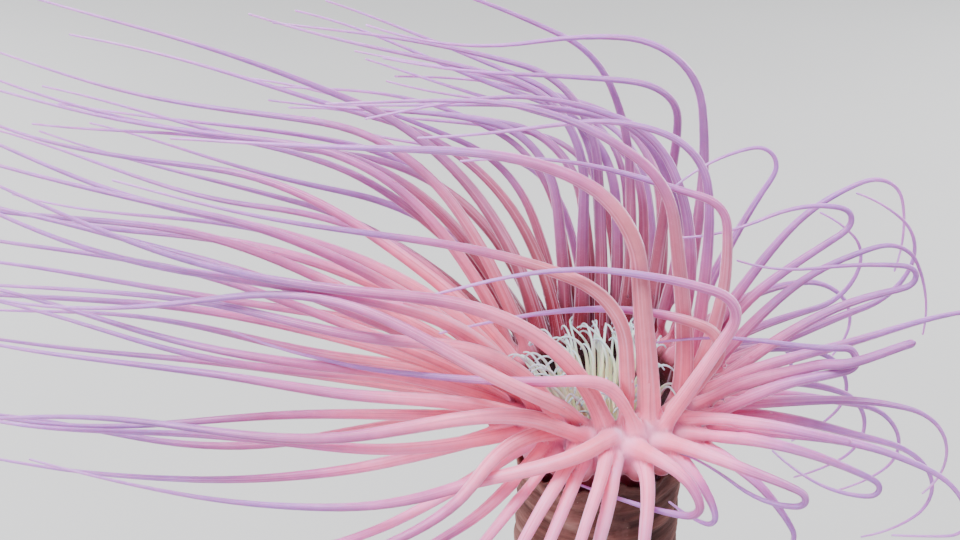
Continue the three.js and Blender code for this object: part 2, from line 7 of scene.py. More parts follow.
import bpy
import numpy as np
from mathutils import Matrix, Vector
from mathutils.kdtree import KDTree


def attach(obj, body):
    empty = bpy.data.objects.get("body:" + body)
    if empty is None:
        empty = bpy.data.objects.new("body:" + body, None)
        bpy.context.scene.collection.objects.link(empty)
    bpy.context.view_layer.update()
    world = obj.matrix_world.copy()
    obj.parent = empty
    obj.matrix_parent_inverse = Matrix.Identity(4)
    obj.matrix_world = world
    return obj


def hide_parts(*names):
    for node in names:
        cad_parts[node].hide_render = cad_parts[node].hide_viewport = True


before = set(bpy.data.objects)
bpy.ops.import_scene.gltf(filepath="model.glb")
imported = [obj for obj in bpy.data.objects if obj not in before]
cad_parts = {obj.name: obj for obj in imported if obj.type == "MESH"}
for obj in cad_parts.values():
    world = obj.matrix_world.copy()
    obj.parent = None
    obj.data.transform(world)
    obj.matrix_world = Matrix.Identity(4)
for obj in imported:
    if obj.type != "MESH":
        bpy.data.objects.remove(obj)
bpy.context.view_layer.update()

MM = 0.001

# ---- sizes in millimetres and bearings in degrees, as in the solids ----
GAP = 0.3
RIM_Z = 168.0
MARGIN_R = 20
MARGIN_Z = RIM_Z - 4.2
MARGIN_SWELL = 4.5
TUBE_R = 19.5
TUBE_TOP = 142
SECTORS = 24
CYCLES = 4
RING_R = [17.6, 19.6, 21.4, 22.8]
RING_LIFT = [1, 0.6, -0.6, -2.2]
STAGGER = [-0.1, 0.1, -0.1, 0.1]
FAR_SECTORS = (4, 8)
FAR_STAGGER = 2
CURRENT = 180
DOWNSTREAM = 178
TIP_R = 0.36
TAPER = 1.15
WAIST = 0.25
WAIST_SHARE = 0.07
REACH = [1.22, 1.33, 1.33, 1.33]
SWING = {"marginal": 5, "labial": 6}

# labial tentacles of the solids, and finer ones between them: distance out, places in the wedge,
# length and climb
LABIAL_GROUP = 100
LABIAL_WEDGES = 6
LABIAL_ROWS = [
    (5.4, [0], 16, 88),
    (7, [-0.3, 0.28], 17, 82),
    (8.8, [-0.36, -0.02, 0.36], 16, 74),
]
EXTRA_ROWS = [
    (4.6, [-0.25, 0.25], 14, 88),
    (6.2, [-0.1, 0.2], 16, 84),
    (7.9, [-0.42, -0.17, 0.12], 16, 77),
    (9.9, [-0.44, -0.2, 0.16, 0.4], 14, 64),
]
LABIAL_R = 0.72
EXTRA_R = 0.55
LABIAL_TIP_R = 0.34
LABIAL_REACH = 1.3
LABIAL_LIFT = -3.4
LABIAL_SINK = 2.2
EXTRA_NEAR_CUT = 0.3

# a route is walked in steps, cut into straight spans by its bends, and pushed clear of the others
STEPS = 96
LABIAL_MARKS = [0, 42, 76, STEPS]
BEND_PER_SPAN = 0.94
BEND_PER_MM = 0.011
LEAST_SPANS = 4
MOST_SPANS = 7
ROOT_HELD = 0.08

# the skin's finer tips, slimmer labial tentacles and wider roots on the far side
FINE_TIP_R = 0.24
FINE_TAPER = 1.5
FINE_LABIAL_TIP_R = 0.17
FINE_LABIAL = 0.86
FAR_FLARE = 0.32
FLARE_MM = 8

# Tentacles with a pose of their own: sector, cycle, length, root radius, then
# (share of the length, bearing, climb) in degrees, and the tip radius where the tip is blunt.
POSED = [
    (18, 0, 148, 2, [
        (0, 235, 74), (0.1, 192, 56), (0.22, 182, 32), (0.36, 180, 12), (0.6, 180, 14), (1, 178, 28),
    ]),
    (19, 1, 88, 1.7, [(0, 200, 80), (0.1, 190, 60), (0.25, 182, 6), (0.7, 180, 4), (1, 178, 20)]),
    (19, 0, 126, 1.9, [(0, 150, 88), (0.15, 170, 84), (0.3, 180, 18), (1, 178, 9)]),
    (20, 0, 134, 2.6, [(0, 0, 94), (0.28, 0, 101), (0.43, 0, 154), (0.62, 0, 171), (1, 0, 182)]),
    (18, 1, 118, 1.9, [
        (0, 235, 40), (0.08, 205, 4), (0.3, 185, -22), (0.5, 182, -2), (0.75, 180, 12), (1, 178, 16),
    ]),
    (17, 1, 140, 1.9, [(0, 215, 30), (0.08, 192, 12), (0.3, 182, 2), (0.6, 180, -1), (1, 180, 3)]),
    (20, 1, 98, 1.8, [(0, -20, 62), (0.28, 0, 60), (0.38, 0, 165), (0.6, 0, 182), (1, 0, 192)]),
    (21, 0, 78, 1.8, [(0, -10, 60), (0.22, 0, 55), (0.32, 0, 165), (0.6, 0, 182), (1, 0, 194)]),
    (22, 0, 118, 2.2, [
        (0, 0, 84), (0.22, 0, 97), (0.36, 0, 102), (0.5, 0, 150), (0.75, 0, 172), (1, 0, 178),
    ]),
    (23, 0, 96, 1.9, [(0, 0, 70), (0.26, 0, 80), (0.42, 0, 94), (0.5, 0, 165), (1, 0, 180)]),
    (0, 0, 108, 1.8, [(0, 0, 80), (0.3, 0, 94), (0.42, 0, 102), (0.55, 0, 155), (0.72, 0, 180), (1, 0, 186)]),
    (2, 1, 112, 1.8, [(0, 0, 80), (0.3, 0, 98), (0.42, 0, 118), (0.54, 0, 165), (0.78, 0, 182), (1, 0, 186)]),
    (3, 1, 116, 1.8, [(0, 0, 78), (0.26, 0, 93), (0.4, 0, 120), (0.52, 0, 168), (0.75, 0, 180), (1, 0, 176)]),
    (3, 0, 132, 1.8, [(0, 0, 68), (0.3, 0, 92), (0.44, 0, 100), (0.62, 0, 172), (0.75, 0, 186), (1, 0, 165)]),
    (4, 0, 118, 1.8, [(0, 0, 76), (0.36, 0, 88), (0.45, 0, 102), (0.58, 0, 170), (0.8, 0, 180), (1, 0, 172)]),
    (5, 0, 120, 1.7, [(0, 0, 86), (0.35, 0, 92), (0.5, 0, 115), (0.62, 0, 158), (1, 0, 160)]),
    (2, 0, 74, 1.7, [(0, 10, 76), (0.35, 10, 64), (0.62, 10, 54), (0.76, 10, 190), (1, 10, 222)]),
    (1, 0, 84, 1.7, [(0, 15, 58), (0.45, 15, 48), (0.66, 15, 24), (0.8, 15, -75), (1, 15, -110)]),
    (1, 1, 88, 1.6, [
        (0, 10, 62), (0.3, 10, 38), (0.5, 10, 35), (0.58, 10, 165), (0.78, 10, 200), (1, 10, 172),
    ]),
    (0, 1, 76, 1.6, [(0, 8, 52), (0.4, 8, 38), (0.62, 8, 22), (0.76, 8, -60), (1, 8, -100)]),
    (0, 2, 90, 1.6, [(0, 5, 42), (0.3, 5, 30), (0.52, 5, 16), (0.6, 5, 172), (0.8, 5, 180), (1, 5, 155)]),
    (23, 1, 80, 1.7, [(0, 0, 35), (0.4, 0, 18), (0.75, 0, 4), (1, 0, -50)]),
    (22, 1, 46, 1.8, [(0, -10, 36), (0.4, -8, 25), (1, -5, 14)], 0.9),
    (22, 2, 76, 1.7, [(0, -5, 34), (0.35, -5, 14), (0.42, -5, 8), (0.5, -5, 175), (1, -5, 188)]),
    (23, 2, 66, 1.7, [(0, -10, 14), (0.4, -10, 4), (0.62, -10, -10), (0.8, -10, -70), (1, -10, -130)]),
    (22, 3, 76, 1.7, [
        (0, -25, 14), (0.3, -20, -2), (0.6, -15, -16), (0.78, -15, -75), (0.86, -15, -170), (1, -15, -178),
    ]),
    (21, 1, 34, 1.9, [(0, -30, 28), (0.3, -20, 4), (1, -15, -4)], 0.9),
    (21, 2, 66, 1.8, [
        (0, -25, 14), (0.35, -18, -8), (0.6, -15, -20), (0.68, -15, -170), (0.85, -15, -205), (1, -15, -225),
    ]),
    (21, 3, 46, 1.7, [(0, -40, 0), (0.35, -30, -28), (0.6, -28, -60), (0.72, -28, -150), (1, -25, -190)]),
    (20, 2, 60, 1.8, [
        (0, -40, 16), (0.25, -25, -8), (0.5, -20, -26), (0.58, -20, -170), (0.8, -20, -205), (1, -20, -185),
    ]),
    (20, 3, 30, 1.8, [(0, -50, 4), (0.3, -42, -45), (0.55, -40, -75), (0.7, -40, -165), (1, -40, -200)]),
    (19, 2, 48, 1.8, [
        (0, -60, 20), (0.2, -35, -20), (0.4, -25, -70), (0.5, -25, -170), (0.75, -25, -195), (1, -25, -202),
    ]),
]


# ---- numbers ----
def noise(n, k):
    """A fixed scatter from 0 to 1."""
    x = math.sin(n * 12.9898 + k * 78.233) * 43758.5453
    return x - math.floor(x)


def signed(n, k):
    return 2 * noise(n, k) - 1


def mix(a, b, t):
    return a + (b - a) * t


def clamp(x):
    return min(1.0, max(0.0, x))


def smooth(lo, hi, x):
    t = np.clip((np.asarray(x, float) - lo) / (hi - lo), 0, 1)
    return t * t * (3 - 2 * t)


def running(steps):
    """The sum of the steps so far, from 0."""
    return np.concatenate([[0], np.cumsum(steps)])


def row_lengths(rows):
    return np.linalg.norm(rows, axis=1)


def dots(a, b):
    return (a * b).sum(1)


def at_places(places, base, rows):
    """Rows of values read at places between those of base."""
    return np.stack([np.interp(places, base, column) for column in rows.T], 1)


def soften(rows, rounds):
    """Evens out a run of rows, whose two ends stay."""
    for _ in range(rounds):
        rows[1:-1] = 0.25 * rows[:-2] + 0.5 * rows[1:-1] + 0.25 * rows[2:]
    return rows


def nearest_turn(turn):
    """A change of turn brought to between minus a half and a half."""
    return (turn + 0.5) % 1 - 0.5


# ---- routes, as in the solids ----
def bearing_of(sector, cycle):
    """Bearing of a root; on the far side the cycles stand further apart."""
    wide = FAR_STAGGER if FAR_SECTORS[0] <= sector <= FAR_SECTORS[1] else 1
    return (sector + STAGGER[cycle] * wide) * 360 / SECTORS


# regions of the crown: last sector, climb at the root by cycle and how much it sways, length, how much
# shorter it is from cycle to cycle, and how much it varies
REGIONS = [
    ("upstream", 3, [66, 48, 24, -2], 7, 84, 6, 8),
    ("far", 7, [88, 82, 74, 64], 5, 112, 4, 10),
    ("far downstream", 10, [74, 64, 54, 42], 6, 136, 4, 10),
    ("downstream", 15, [60, 44, 28, 10], 6, 144, 4, 12),
    ("near", 20, [60, 26, 6, -14], 6, 110, 9, 8),
    ("upstream", 23, [66, 48, 24, -2], 7, 84, 6, 8),
]


def drift(sector, cycle):
    """Length, root radius and turns of a tentacle that simply goes with the current."""
    n = sector * CYCLES + cycle
    at = bearing_of(sector, cycle)
    down = DOWNSTREAM + 5 * signed(n, 5)
    sway, pick, lift = signed(n, 3), noise(n, 4), signed(n, 6)
    region, _, climbs, swing, length, by_cycle, by_size = next(row for row in REGIONS if sector <= row[1])
    climb = climbs[cycle] + swing * sway
    length = length - by_cycle * cycle + by_size * signed(n, 1)
    if region == "far":  # straight up, then bent over downstream
        bend = 0.34 + 0.1 * pick
        rest = [(bend - 0.1, mix(at, CURRENT, 0.35), climb - 5),
                (bend + 0.14, mix(at, down, 0.9), 16 + 8 * sway), (1, down, 8 + 8 * lift)]
    elif region == "far downstream":
        rest = [(0.24, mix(at, down, 0.6), 0.72 * climb),
                (0.5, down, 14 + 6 * sway), (1, down, 14 + 8 * lift)]
    elif region == "downstream":  # away with the current, the lower cycles sagging
        sag = 3 * max(0, sector - 12) * max(0, cycle - 0.5)
        climb -= sag
        length -= sag
        rest = [(0.22, mix(at, down, 0.7), 0.6 * climb - sag),
                (0.55, down, 11 - 2 * cycle + 5 * sway - 2 / 3 * sag),
                (1, down, [24, 20, 14, 8][cycle] + 7 * lift)]
    elif region == "near" and cycle == 0:  # away with the current
        length = 134
        at = mix(at, CURRENT, 0.6)
        rest = [(0.25, 184, 26), (0.6, 182, -2), (1, 178, 12)]
    elif region == "near":  # falling
        fall = -10 - 9 * cycle - 14 * (sector - 16) - 8 * pick
        rest = [(0.22, mix(at, CURRENT, 0.4), fall), (0.6, mix(at, CURRENT, 0.75), fall + 12),
                (1, 178, 0.3 * fall + 4)]
    else:  # out against the current, then turned back over or under
        at = at if at < 180 else at - 360
        over = 1 if pick > 0.45 and cycle < 3 else -1
        rest = [(share, part * at, climb - 14 + over * angle)
                for share, part, angle in ((0.5, 0.5, 0), (0.68, 0.4, 60), (0.84, 0.3, 130), (1, 0.3, 150))]
    return length, 1.75 + 0.2 * signed(n, 2) - 0.08 * cycle, [(0, at, climb), *rest]


def turn_at(turns, s):
    """Bearing and climb at a share of the length."""
    k = 1
    while k < len(turns) - 1 and s > turns[k][0]:
        k += 1
    s0, a0, e0 = turns[k - 1]
    s1, a1, e1 = turns[k]
    t = clamp((s - s0) / (s1 - s0))
    return mix(a0, a1, t), mix(e0, e1, t)


def fine_route(root, length, turns, n, swing):
    """The route walked from its root, swaying a little on the way."""
    points = [np.array(root, float)]
    for k in range(STEPS):
        s = (k + 0.5) / STEPS
        bearing, climb = turn_at(turns, s)
        sway = swing * min(1, s * 3)
        a = math.radians(bearing + sway * math.sin(s * 9 + 6.28 * noise(n, 7)))
        e = math.radians(climb + sway * math.sin(s * 8 + 6.28 * noise(n, 8)))
        step = np.array([math.cos(e) * math.cos(a), math.cos(e) * math.sin(a), math.sin(e)])
        points.append(points[-1] + step * length / STEPS)
    return np.array(points)


def bends_of(points):
    """The length of each step of a route, and the angle before it in radians."""
    steps = np.diff(points, axis=0)
    size = row_lengths(steps)
    steps = steps / size[:, None]
    bend = np.zeros(len(size))
    bend[1:] = np.arccos(np.clip(dots(steps[1:], steps[:-1]), -1, 1))
    return size, bend


def spans_of(points):
    """Steps of a route at which its straight spans end: more of them where it bends."""
    size, bend = bends_of(points)
    effort = running(BEND_PER_MM * size + bend)
    whole = effort[-1]
    count = min(MOST_SPANS, max(LEAST_SPANS, math.floor(whole / BEND_PER_SPAN + 0.5)))
    marks = [0]
    for i in range(1, count):
        k = int(np.searchsorted(effort, whole * i / count, side="left"))
        marks.append(max(k, marks[-1] + 1))
    return marks + [len(points) - 1]


def solid_radius(one, s):
    if one.kind == "labial":
        return mix(one.radius, LABIAL_TIP_R, s)
    waist = 1 - WAIST * max(0, 1 - s / WAIST_SHARE)
    return (one.tip + (one.radius - one.tip) * np.power(1 - s, TAPER)) * waist


def tentacle(kind, n, bearing, r, z, length, turns, **more):
    """A tentacle with its route, from a root on the disc, and the knots of its straight spans."""
    a = math.radians(bearing)
    fine = fine_route((r * math.cos(a), r * math.sin(a), z), length, turns, n, SWING[kind])
    marks = LABIAL_MARKS if kind == "labial" else spans_of(fine)
    return SimpleNamespace(kind=kind, n=n, length=length, fine=fine, marks=marks, knots=fine[marks], **more)


def marginal_tentacles():
    rows = {sector * CYCLES + cycle: row for sector, cycle, *row in POSED}
    made = []
    for n in range(SECTORS * CYCLES):
        sector, cycle = divmod(n, CYCLES)
        length, radius, turns, *blunt = rows[n] if n in rows else drift(sector, cycle)
        made.append(tentacle(
            "marginal", n, bearing_of(sector, cycle), RING_R[cycle], RIM_Z + RING_LIFT[cycle], length, turns,
            group=sector, cycle=cycle, radius=radius, grow=REACH[cycle], tip=blunt[0] if blunt else TIP_R))
    return made


def labial_tentacles(rows, numbers, root_r, near_cut):
    """Labial tentacles in wedges; numbers are the first one's, and the steps between wedges and rows."""
    first, by_wedge, by_row = numbers
    made = []
    for wedge in range(LABIAL_WEDGES):
        for rank, (r, places, length, climb) in enumerate(rows):
            for i, place in enumerate(places):
                n = first + wedge * by_wedge + rank * by_row + i
                at = (wedge + 0.5 + place) * 360 / LABIAL_WEDGES + 4 * signed(n, 1)
                lean = mix(at, CURRENT, 0.35) + 45 * signed(n, 2)
                turns = [
                    (0, at, climb),
                    (0.5, lean, climb - 14 + 8 * signed(n, 3)),
                    (0.78, lean, 36 + 16 * signed(n, 4)),
                    (1, lean, -70 + 25 * signed(n, 5)),
                ]
                near = float(smooth(0.3, 0.9, -math.sin(math.radians(at))))
                size = (length + 2 * signed(n, 6)) * (1 - near_cut * near)
                made.append(tentacle("labial", n, at, r, RIM_Z + LABIAL_LIFT, size, turns,
                                     group=LABIAL_GROUP + wedge, radius=root_r, grow=LABIAL_REACH))
    return made


def closest(p1, q1, p2, q2):
    """Closest places on pairs of straight spans: shares of each, the vector between and its length."""
    d1 = q1 - p1
    d2 = q2 - p2
    r = p1 - p2
    a, b, c = dots(d1, d1), dots(d1, d2), dots(d1, r)
    e, f = dots(d2, d2), dots(d2, r)
    spread = a * e - b * b
    s = np.where(spread > 1e-9, np.clip((b * f - c * e) / np.maximum(spread, 1e-9), 0, 1), 0.5)
    t = np.clip((b * s + f) / e, 0, 1)
    s = np.clip((b * t - c) / a, 0, 1)
    between = p1 + d1 * s[:, None] - (p2 + d2 * t[:, None])
    return s, t, between, row_lengths(between)


def push_apart(points, radius, freedom, a, joined, rounds, every, slack, gain):
    """Moves the ends of spans until no two spans that aren't joined are nearer than their radii."""
    b = a + 1
    for count in range(rounds):
        if count % every == 0:
            middle = (points[a] + points[b]) / 2
            own = row_lengths(points[a] - points[b]) / 2 + radius[a]
            square = dots(middle, middle)
            apart = square[:, None] + square[None, :] - 2 * middle @ middle.T
            near = apart < (own[:, None] + own[None, :] + slack) ** 2
            near &= ~joined
            first, second = np.nonzero(np.triu(near, 1))
        a1, b1, a2, b2 = a[first], b[first], a[second], b[second]
        s, t, between, distance = closest(points[a1], points[b1], points[a2], points[b2])
        need = mix(radius[a1], radius[b1], s) + mix(radius[a2], radius[b2], t)
        hit = distance < need
        if not hit.any():
            break
        s, t = s[hit], t[hit]
        way = between[hit] * ((need - distance)[hit] * 0.5 / np.maximum(distance[hit], 1e-6))[:, None]
        moves = np.zeros_like(points)
        counts = np.zeros(len(points))
        for joint, share, sign in ((a1, 1 - s, 1), (b1, s, 1), (a2, 1 - t, -1), (b2, t, -1)):
            np.add.at(moves, joint[hit], sign * way * share[:, None])
            np.add.at(counts, joint[hit], share)
        points += moves * (gain * freedom / np.maximum(counts, 1))[:, None]


def pairs_beside(group):
    """Which pairs stand in the same sector, or in sectors next to one another."""
    step = np.abs(group[:, None] - group[None, :])
    return (step <= 1) | (step == SECTORS - 1)


def joined_up(runs):
    """Runs of points, radii and freedoms end to end, each span's first point and run, and the runs' parts."""
    sizes = np.array([len(run[0]) for run in runs])
    ends = np.cumsum(sizes)
    parts = [slice(end - size, end) for size, end in zip(sizes, ends)]
    spans = np.delete(np.arange(ends[-1]), ends - 1)
    owner = np.repeat(np.arange(len(runs)), sizes - 1)
    return [np.concatenate(rows).astype(float) for rows in zip(*runs)], spans, owner, parts


def separate(tentacles):
    """The solids' own clearing of one tentacle from another, from the tube and from the margin."""
    runs = [([(0, 0, 0), (0, 0, TUBE_TOP)], [TUBE_R] * 2, [0] * 2)]
    for sector in range(SECTORS):
        ends = [math.radians((sector + side) * 360 / SECTORS) for side in (-0.5, 0.5)]
        hoop = [(MARGIN_R * math.cos(a), MARGIN_R * math.sin(a), MARGIN_Z) for a in ends]
        runs.append((hoop, [MARGIN_SWELL] * 2, [0] * 2))
    for one in tentacles:
        shares = [k / STEPS for k in one.marks]
        wide = [solid_radius(one, s) * one.grow + GAP / 2 for s in shares]
        runs.append((one.knots, wide, [clamp(s / ROOT_HELD) for s in shares]))
    (at, radius, freedom), spans, owner, parts = joined_up(runs)
    group = np.array([-1, *range(SECTORS), *(one.group for one in tentacles)])[owner]
    body = owner <= SECTORS
    hoops = body & (owner > 0)
    first = ~body & np.isin(spans, [part.start for part in parts])
    near_group = np.where(hoops[:, None] | hoops, pairs_beside(group), group[:, None] == group)
    joined = (owner[:, None] == owner) | (body[:, None] & body) | ((first[:, None] | first) & near_group)
    push_apart(at, radius, freedom, spans, joined, rounds=240, every=10, slack=6, gain=1.4)
    for one, part in zip(tentacles, parts[SECTORS + 1:]):
        one.knots = at[part]


# ---- smooth routes ----
def share_of(one, count):
    """Shares of the length for the sections: closer together where the route bends."""
    size, bend = bends_of(one.route)
    bend = np.convolve(bend, [0.25, 0.5, 0.25], "same")
    effort = running(size / size.sum() + 0.22 * bend)
    return np.interp(np.linspace(0, effort[-1], count), effort, np.linspace(0, 1, len(effort)))


def smooth_route(one):
    """The fine route carried along with its knots, without the straight spans' corners."""
    moved = one.knots - one.fine[one.marks]
    x = np.array(one.marks) / STEPS
    gap = np.diff(x)
    slope = np.diff(moved, axis=0) / gap[:, None]
    tilt = np.concatenate([slope[:1], slope, slope[-1:]])
    w = np.concatenate([gap[:1], gap, gap[-1:]])
    tangent = (tilt[:-1] * w[1:, None] + tilt[1:] * w[:-1, None]) / (w[1:] + w[:-1])[:, None]
    k = np.arange(STEPS + 1) / STEPS
    i = np.clip(np.searchsorted(x, k, side="right") - 1, 0, len(gap) - 1)
    t = ((k - x[i]) / gap[i])[:, None]
    g = gap[i][:, None]
    shift = (
        (1 + 2 * t) * (1 - t) ** 2 * moved[i]
        + t * (1 - t) ** 2 * g * tangent[i]
        + t * t * (3 - 2 * t) * moved[i + 1]
        + t * t * (t - 1) * g * tangent[i + 1]
    )
    one.route = soften(one.fine + shift, 3)


def far_side(one):
    return float(smooth(0.25, 0.8, math.sin(math.radians(one.group * 360 / SECTORS))))


def round_radius(one, s):
    if one.kind == "labial":
        return mix(one.radius * FINE_LABIAL, FINE_LABIAL_TIP_R, np.power(s, 0.75))
    tip = one.tip if one.tip > TIP_R else FINE_TIP_R
    flare = 1 + FAR_FLARE * far_side(one) * np.exp(-(s * one.length / FLARE_MM) ** 2)
    return (tip + (one.radius - tip) * np.power(1 - s, FINE_TAPER)) * flare


def frames_of(path):
    """The tangent and two unit sides for each point of a path, without twist."""
    steps = np.diff(path, axis=0)
    steps /= row_lengths(steps)[:, None]
    tangent = np.concatenate([steps[:1], steps[1:] + steps[:-1], steps[-1:]])
    tangent /= row_lengths(tangent)[:, None]
    side = np.cross((0, 0, 1), tangent[0])
    if np.linalg.norm(side) < 0.1:
        side = np.cross((1, 0, 0), tangent[0])
    sides = []
    for way in tangent:
        side = side - way * side.dot(way)
        side = side / np.linalg.norm(side)
        sides.append(side)
    sides = np.array(sides)
    return tangent, sides, np.cross(tangent, sides)


# sections, length held at the root, length that gives way, most freedom, length that may touch a neighbour
SETTLING = {"marginal": (40, 5, 8, 1, 10), "labial": (15, 2, 5, 0.8, 3.5)}
SKIN_GAP = 0.1


def settle(tentacles):
    """Clears the smooth, round tentacles of one another, as the solids are."""
    runs, base = [], []
    for one in tentacles:
        sections, held, give, most, touch = SETTLING[one.kind]
        one.shares = share_of(one, sections)
        one.path = at_places(one.shares, np.linspace(0, 1, STEPS + 1), one.route)
        mm = one.shares * one.length
        wide = round_radius(one, one.shares) * 1.03 + SKIN_GAP
        runs.append((one.path, wide, np.clip((mm - held) / give, 0, 1) * most))
        base.append(mm[:-1] < touch)
    (at, radius, freedom), spans, owner, parts = joined_up(runs)
    base = np.concatenate(base)
    group = np.array([one.group for one in tentacles])[owner]
    joined = (owner[:, None] == owner) | (base[:, None] & base & pairs_beside(group))
    for _ in range(3):
        push_apart(at, radius, freedom, spans, joined, rounds=12, every=12, slack=1.5, gain=1.3)
        clear_body(at, radius, freedom)
        for one, part in zip(tentacles, parts):
            at[part] = one.path + soften(at[part] - one.path, 2)
    for one, part in zip(tentacles, parts):
        one.path = at[part]
        one.arc = running(row_lengths(np.diff(one.path, axis=0)))
        one.frames = frames_of(one.path)


CLEAR_TUBE_BELOW = 156


def clear_body(at, radius, freedom):
    """Keeps tentacles off the tube and off the swell of the margin."""
    out = np.hypot(at[:, 0], at[:, 1])
    low = (at[:, 2] < CLEAR_TUBE_BELOW) & (freedom > 0)
    need = np.where(low, TUBE_R - 0.5 + radius, 0)
    grow = np.where(out < need, need / np.maximum(out, 1e-6), 1)
    at[:, :2] *= grow[:, None]
    out = np.hypot(at[:, 0], at[:, 1])
    away = np.stack([out - MARGIN_R, at[:, 2] - MARGIN_Z], 1)
    gap = row_lengths(away)
    short = np.clip(MARGIN_SWELL - 0.2 + radius - gap, 0, None) * (freedom > 0.4)
    way = away / np.maximum(gap, 1e-6)[:, None] * short[:, None]
    at[:, :2] += at[:, :2] / np.maximum(out, 1e-6)[:, None] * way[:, :1]
    at[:, 2] += way[:, 1]


def share_at(one, mm):
    return np.interp(mm, one.arc, one.shares)


# ---- colours ----
def rgb(red, green, blue):
    """A screen colour as linear light."""
    values = np.array([red, green, blue]) / 255
    return np.where(values <= 0.04045, values / 12.92, ((values + 0.055) / 1.055) ** 2.4)


ROSE = rgb(238, 134, 168)
SALMON = rgb(236, 126, 152)
PALE_PINK = rgb(246, 160, 200)
MAUVE = rgb(190, 104, 162)
LILAC = rgb(158, 108, 184)
PALE_LILAC = rgb(176, 132, 206)
BROWN_PINK = rgb(168, 88, 106)
TAN = rgb(204, 116, 136)
# painted highlight: a pale lilac-pink for the tops of the roots at the margin
ROOT_TOP_HIGHLIGHT = rgb(252, 192, 230)
MAROON = rgb(112, 24, 40)
DARK = rgb(44, 12, 22)
CREAM = rgb(255, 249, 206)
ICE = rgb(222, 246, 238)
ICE_BLUE = rgb(190, 218, 246)
COLUMN_RED = rgb(132, 44, 60)


def ramp(x, stops):
    """Colour at x from (place, colour) stops, eased between them."""
    places, colours = map(np.array, zip(*stops))
    x = np.clip(np.asarray(x, float), places[0], places[-1])
    i = np.clip(np.searchsorted(places, x, side="right") - 1, 0, len(places) - 2)
    t = (x - places[i]) / (places[i + 1] - places[i])
    return mix(colours[i], colours[i + 1], (t * t * (3 - 2 * t))[..., None])


LABIAL_STOPS = [(0, CREAM), (0.35, CREAM), (0.62, ICE), (0.85, ICE_BLUE), (1, ICE_BLUE)]
NEAR_STOPS = [(0, ROSE), (0.08, SALMON), (0.2, ROSE), (0.36, MAUVE), (0.6, LILAC), (1, PALE_LILAC)]
TALL_STOPS = [
    (0, ROSE), (0.08, SALMON), (0.24, TAN), (0.34, TAN), (0.46, MAUVE), (0.64, LILAC), (1, PALE_LILAC),
]
UPSTREAM_STOPS = [(0, ROSE), (0.12, MAUVE), (0.34, LILAC), (0.8, LILAC), (1, PALE_LILAC)]


def far_stops(cool):
    """A far tentacle's colours from its maroon root; some are cooler than others."""
    low = mix(BROWN_PINK, MAUVE * 0.8, 0.45 * cool)
    high = mix(BROWN_PINK * 1.08, LILAC, 0.15 + 0.55 * cool)
    return [
        (0, MAROON), (0.05, MAROON * 1.2), (0.14, low * 0.85), (0.27, high), (0.4, mix(high, LILAC, 0.6)),
        (0.6, LILAC), (1, PALE_LILAC),
    ]


def tentacle_tint(one, s):
    """Rose at the root to lilac at the tip; maroon roots on the far side, bluer upstream, and painted light
    that makes the lower cycles on the near side paler and bluer along their first half.
    """
    if one.kind == "labial":
        return ramp(s, LABIAL_STOPS)
    bearing = math.radians(one.group * 360 / SECTORS)
    far = far_side(one)
    if one.tip > TIP_R:
        s = s * 0.45
    tall = one.cycle == 0 and 19 <= one.group <= 23
    upstream = smooth(0.35, 0.95, math.cos(bearing)) * (0.2 if tall else 1)
    cool = smooth(0.35, 0.85, noise(one.n, 12))
    tint = mix(ramp(s, TALL_STOPS if tall else NEAR_STOPS), ramp(s, far_stops(cool)), far)
    tint = mix(tint, ramp(s, UPSTREAM_STOPS), 0.7 * upstream)
    # painted light: on the near side the lower cycles are paler and bluer towards their roots, as if lit from
    # the front
    near_painted_light = float(smooth(0.1, 0.9, -math.sin(bearing))) * one.cycle / 3
    pale = near_painted_light * smooth(0.5, 0.2, s)[..., None] * (0.36, 0.28, 0.5)
    return tint * (0.92 + 0.16 * noise(one.n, 11)) * (1 + pale)


# ---- one mesh from many runs of faces ----
def add_object(name, data):
    piece = bpy.data.objects.new(name, data)
    bpy.context.scene.collection.objects.link(piece)
    return piece


class Mesh:
    """Gathers vertices with their tint and stripe, and faces with their places in the two maps."""

    def __init__(self):
        self.points, self.tints, self.stripes, self.runs = [], [], [], []
        self.count = 0

    def put(self, points, tints, stripes):
        """Adds vertices, and returns the number of the first."""
        points = np.reshape(points, (-1, 3))
        self.points.append(points)
        self.tints.append(np.broadcast_to(tints, points.shape))
        self.stripes.append(np.broadcast_to(stripes, len(points)))
        self.count += len(points)
        return self.count - len(points)

    def face(self, *run):
        """Adds triangles or quads: their corners, and the corners' places in the two maps."""
        self.runs.append(run)

    def build(self, name):
        runs = sorted(self.runs, key=lambda run: run[0].shape[1])
        faces = [face for run in runs for face in run[0].tolist()]
        mesh = bpy.data.meshes.new(name)
        mesh.from_pydata(np.concatenate(self.points) * MM, [], faces)
        for k, label in enumerate(("OFBake", "Flow")):
            layer = mesh.uv_layers.new(name=label)
            layer.data.foreach_set("uv", np.concatenate([run[k + 1].ravel() for run in runs]))
        tint = mesh.color_attributes.new(name="tint", type="FLOAT_COLOR", domain="POINT")
        tint.data.foreach_set("color", np.insert(np.concatenate(self.tints), 3, 1, axis=1).ravel())
        stripe = mesh.attributes.new("stripe", "FLOAT", "POINT")
        stripe.data.foreach_set("value", np.concatenate(self.stripes))
        mesh.shade_smooth()
        mesh.validate()
        return add_object(name, mesh)


def angles(sides):
    return np.arange(sides) * 2 * math.pi / sides


def lattice(rings, sides):
    """The quads between a tube's rings: their corners, and each corner's ring and turn from 0 to 1."""
    i, j = np.indices((rings - 1, sides)).reshape(2, -1)
    ring_of = np.stack([i, i, i + 1, i + 1], 1)
    side_of = np.stack([j, j + 1, j + 1, j], 1)
    return ring_of * sides + side_of % sides, ring_of, side_of / sides


def rings_of(r, z, sides):
    """Rings of points round the axis, at radii and heights that may change round a ring."""
    angle = angles(sides)
    return np.stack([r * np.cos(angle), r * np.sin(angle), z + 0 * angle], -1)


